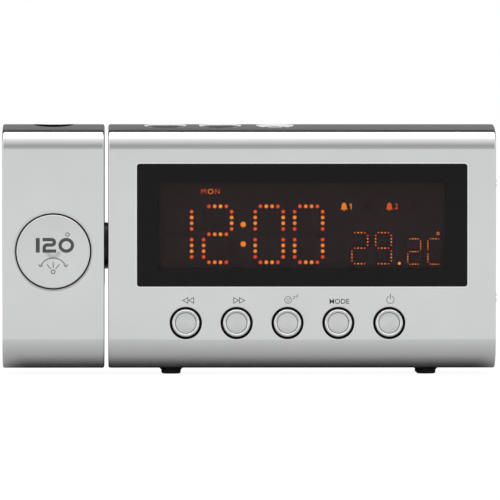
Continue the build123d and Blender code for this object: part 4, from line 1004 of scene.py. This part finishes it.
def on_dome(name, shapes, material):
    """Adds ink that follows the key's dome and moves with the key."""
    points, faces = joined(shapes)
    from_middle = points[:, 0] ** 2 + points[:, 1] ** 2
    fall = dome_radius - np.sqrt(dome_radius ** 2 - from_middle)
    placed = np.stack((points[:, 0] + disc_centre[0], points[:, 1] + disc_centre[1],
                       disc_front - fall + points[:, 2] - dome_sunk), axis=-1)
    add_piece(name, to_front(placed) * mm, faces, "projection_key", material)


def run(start, end, count=8):
    """Points evenly spaced on a straight line."""
    return np.linspace(start, end, count)


one = run((-6.23, -0.45), (-6.23, 5.5))
two_top = np.concatenate((run((-4.3, 4.85), (-0.6, 4.85)), arc((-0.6, 3.75), 1.1, 80, -80, 14),
                          run((-0.6, 2.65), (-2.4, 2.65)), arc((-2.4, 1.4), 1.25, 100, 170, 8),
                          run((-3.65, 1.3), (-3.65, 0.3), 3)))
two_base = run((-4.3, 0.2), (1.2, 0.2))
nought = arc((0, 0), 1.0, 0, 350, 36) * (2.5, 2.35) + (5.3, 2.52)
number = [stroke(one, 1.6, dome_ink, False), stroke(two_top, 1.35, dome_ink, False),
          stroke(two_base, 1.3, dome_ink, False), stroke(nought, 1.35, dome_ink, True)]
number += [stroke(arc((5.8, 6.9), 0.7, 0, 345, 20), 0.3, dome_ink, True)]
on_dome("angle_number", number, ink_dark)

# %% A symbol for the swivel
fan_at = np.array((0.0, -8.2))
fan_reach, tip_angle = 5.6, math.radians(22)
fan = [stroke(arc(fan_at, fan_reach, 28, 152, 40), 0.34, dome_ink, False)]
for side in (1, -1):
    tip = fan_at + fan_reach * np.array((side * math.cos(tip_angle), math.sin(tip_angle)))
    head = np.array([(-0.95, 0.55), (0, 0), (0.75, 0.9)]) * (side, 1)
    fan += [stroke(tip + head[::side], 0.34, dome_ink, False)]
for angle in np.radians([50, 90, 130]):
    way = np.array((math.cos(angle), math.sin(angle)))
    fan += [stroke([fan_at + 1.5 * way, fan_at + 3.9 * way], 0.3, dome_ink, False)]
fan += [stroke(arc(fan_at, 0.75, 0, 345, 20), 0.34, dome_ink, True)]
on_dome("swivel_symbol", fan, ink_dark)

# %% [markdown]
# ## The studio
# The floor is pale and the room is white. A product like this mirrors its whole surroundings, so what
# stands round it matters as much as the lamps: a wide soft box overhead gives the white line on the
# rounded edges, and two graded cards, behind and in front, give the grey lines beside it. The cards show only
# in reflections.

# %% Helpers for the studio
def sheet_of_points(name, corners, material):
    """A flat card through four corners, in metres, that isn't part of the object."""
    mesh = bpy.data.meshes.new(name)
    mesh.from_pydata(corners, [], [(0, 1, 2, 3)])
    mesh.materials.append(material)
    card = new_object(name, mesh)
    return card


def mixed(tree, plain, bright, amount):
    """A Mix Shader of two shaders by an amount. Returns its output."""
    mix = tree.nodes.new("ShaderNodeMixShader")
    connect(tree, amount, mix.inputs["Fac"])
    tree.links.new(plain, mix.inputs[1])
    tree.links.new(bright, mix.inputs[2])
    return mix.outputs[0]


def ray_kinds(tree):
    """Two numbers of a Light Path node: 1 for a camera ray, and 1 for a ray off a mirror or through glass."""
    path = tree.nodes.new("ShaderNodeLightPath")
    bounced = sums(tree, "MAXIMUM", path.outputs["Is Glossy Ray"], path.outputs["Is Transmission Ray"])
    return path.outputs["Is Camera Ray"], bounced


def tone_ramp(tree, factor, tones):
    """A Color Ramp of grey stops (position, tone), read at a factor. Returns its Color output."""
    ramp = tree.nodes.new("ShaderNodeValToRGB")
    tree.links.new(factor, ramp.inputs["Fac"])
    stops = ramp.color_ramp.elements
    for number, (position, tone) in enumerate(tones):
        stop = stops[number] if number < 2 else stops.new(1.0)
        stop.position = position
        stop.color = (tone, tone, tone, 1)
    return ramp.outputs["Color"]


# %% [markdown]
# The camera sees the floor white, with the faintest of shadows. Mirrors see the shade round the clock: a
# Color Ramp over the cube root of the distance from its outline, dark at the casing and almost white a metre
# off.

# %% Floor
floor_glow, glow_share = 1.2, 0.78
half_length, half_depth = 0.09, 0.01

floor_white = start_finish("floor_white", (0.82, 0.82, 0.82), 0.8, Specular_IOR_Level=0.1)
tree = floor_white.node_tree
lit_floor = tree.nodes.new("ShaderNodeEmission")
lit_floor.inputs["Strength"].default_value = floor_glow
where = tree.nodes.new("ShaderNodeTexCoord")
place = axes(tree, where.outputs["Object"])
away = []
for axis, half in (("X", half_length), ("Y", half_depth)):
    past = sums(tree, "SUBTRACT", sums(tree, "ABSOLUTE", place[axis], 0.0), half)
    past = sums(tree, "MAXIMUM", past, 0.0)
    away.append(sums(tree, "MULTIPLY", past, past))
distance = sums(tree, "SQRT", sums(tree, "ADD", away[0], away[1]), 0.0)
shades = [(0, 0.01), (0.0015, 0.02), (0.0054, 0.06), (0.0074, 0.12), (0.0096, 0.2), (0.0115, 0.285),
          (0.0137, 0.375), (0.0165, 0.45), (0.026, 0.55), (0.045, 0.63), (0.1, 0.69), (0.25, 0.81),
          (0.9, 0.88)]
shade = tone_ramp(tree, sums(tree, "POWER", distance, 1 / 3),
                  [(far ** (1 / 3), tone) for far, tone in shades])
mirrored = tree.nodes.new("ShaderNodeEmission")
tree.links.new(shade, mirrored.inputs["Color"])
by_camera, by_mirror = ray_kinds(tree)
seen = mixed(tree, tree.nodes["Principled BSDF"].outputs[0], lit_floor.outputs[0],
             sums(tree, "MULTIPLY", by_camera, glow_share))
tree.links.new(mixed(tree, seen, mirrored.outputs[0], by_mirror),
               tree.nodes["Material Output"].inputs["Surface"])
far_edge = 12.0
sheet_of_points("floor", [(-far_edge, -far_edge, 0), (far_edge, -far_edge, 0), (far_edge, far_edge, 0),
                          (-far_edge, far_edge, 0)], floor_white)

# %% World
room_light = 0.55
world = bpy.data.worlds.new("white_room")
bpy.context.scene.world = world
world.use_nodes = True
tree = world.node_tree
dim = tree.nodes["Background"]
dim.inputs["Color"].default_value = (1, 1, 1, 1)
dim.inputs["Strength"].default_value = room_light
white = tree.nodes.new("ShaderNodeBackground")
white.inputs["Color"].default_value = (1, 1, 1, 1)
by_camera, by_mirror = ray_kinds(tree)
tree.links.new(mixed(tree, dim.outputs[0], white.outputs[0], sums(tree, "MAXIMUM", by_camera, by_mirror)),
               tree.nodes["World Output"].inputs["Surface"])

# %% [markdown]
# The cards shine softly, each with its own brightness at every height. They stand in for the unlit parts of
# a real studio: the camera's side of the room, which is grey in its middle, and the dark space behind the
# table.

# %% Cards that show only in reflections
def graded_card(name, place, top, half_width, tones):
    """An upright card across the room at Y = place. Its brightness at each height is read from a Color Ramp
    of (height in metres, tone) stops over height / top."""
    material = bpy.data.materials.new(name)
    material.use_nodes = True
    tree = material.node_tree
    tree.nodes.remove(tree.nodes["Principled BSDF"])
    where = tree.nodes.new("ShaderNodeTexCoord")
    share = sums(tree, "DIVIDE", axes(tree, where.outputs["Object"])["Z"], top)
    shine = tree.nodes.new("ShaderNodeEmission")
    tree.links.new(tone_ramp(tree, share, [(height / top, tone) for height, tone in tones]),
                   shine.inputs["Color"])
    tree.links.new(shine.outputs[0], tree.nodes["Material Output"].inputs["Surface"])
    corners = [(-half_width, place, 0), (half_width, place, 0), (half_width, place, top),
               (-half_width, place, top)]
    card = sheet_of_points(name, corners, material)
    card.visible_camera = False
    card.visible_diffuse = False
    card.visible_shadow = False


graded_card("rear_card", 1.5, 3.07, 3.0, [(0, 0.2), (0.85, 0.2), (1.05, 0.02), (3.07, 0.02)])
graded_card("front_card", -3.6, 8.4, 3.0, [(0, 0.88), (0.315, 0.72), (0.765, 0.5), (1.35, 0.4), (2.04, 0.55),
                                           (3.24, 0.78), (4.26, 0.9), (5.5, 1.03), (7.2, 1.12), (8.4, 1.12)])


# %% Lamps
def soft_box(name, place, aim_at, width, height, radiance):
    """An area lamp. Its brightness doesn't change with its size, for its power is pi * area * radiance."""
    lamp = bpy.data.lights.new(name, "AREA")
    lamp.shape = "RECTANGLE"
    lamp.size = width
    lamp.size_y = height
    lamp.energy = math.pi * width * height * radiance
    holder = new_object(name, lamp)
    holder.location = place
    holder.rotation_mode = "QUATERNION"
    holder.rotation_quaternion = (Vector(aim_at) - Vector(place)).to_track_quat("-Z", "Y")
    holder.visible_camera = False
    print(name, round(lamp.energy, 1), "W")
    return holder


soft_box("overhead", (0, 0.05, 1.2), (0, 0.05, 0), 2.0, 1.07, 1.15)
front_fill = soft_box("front_fill", (-0.6, -2.6, 1.6), (0, 0, 0.05), 1.2, 1.0, 0.8)
front_fill.visible_glossy = False
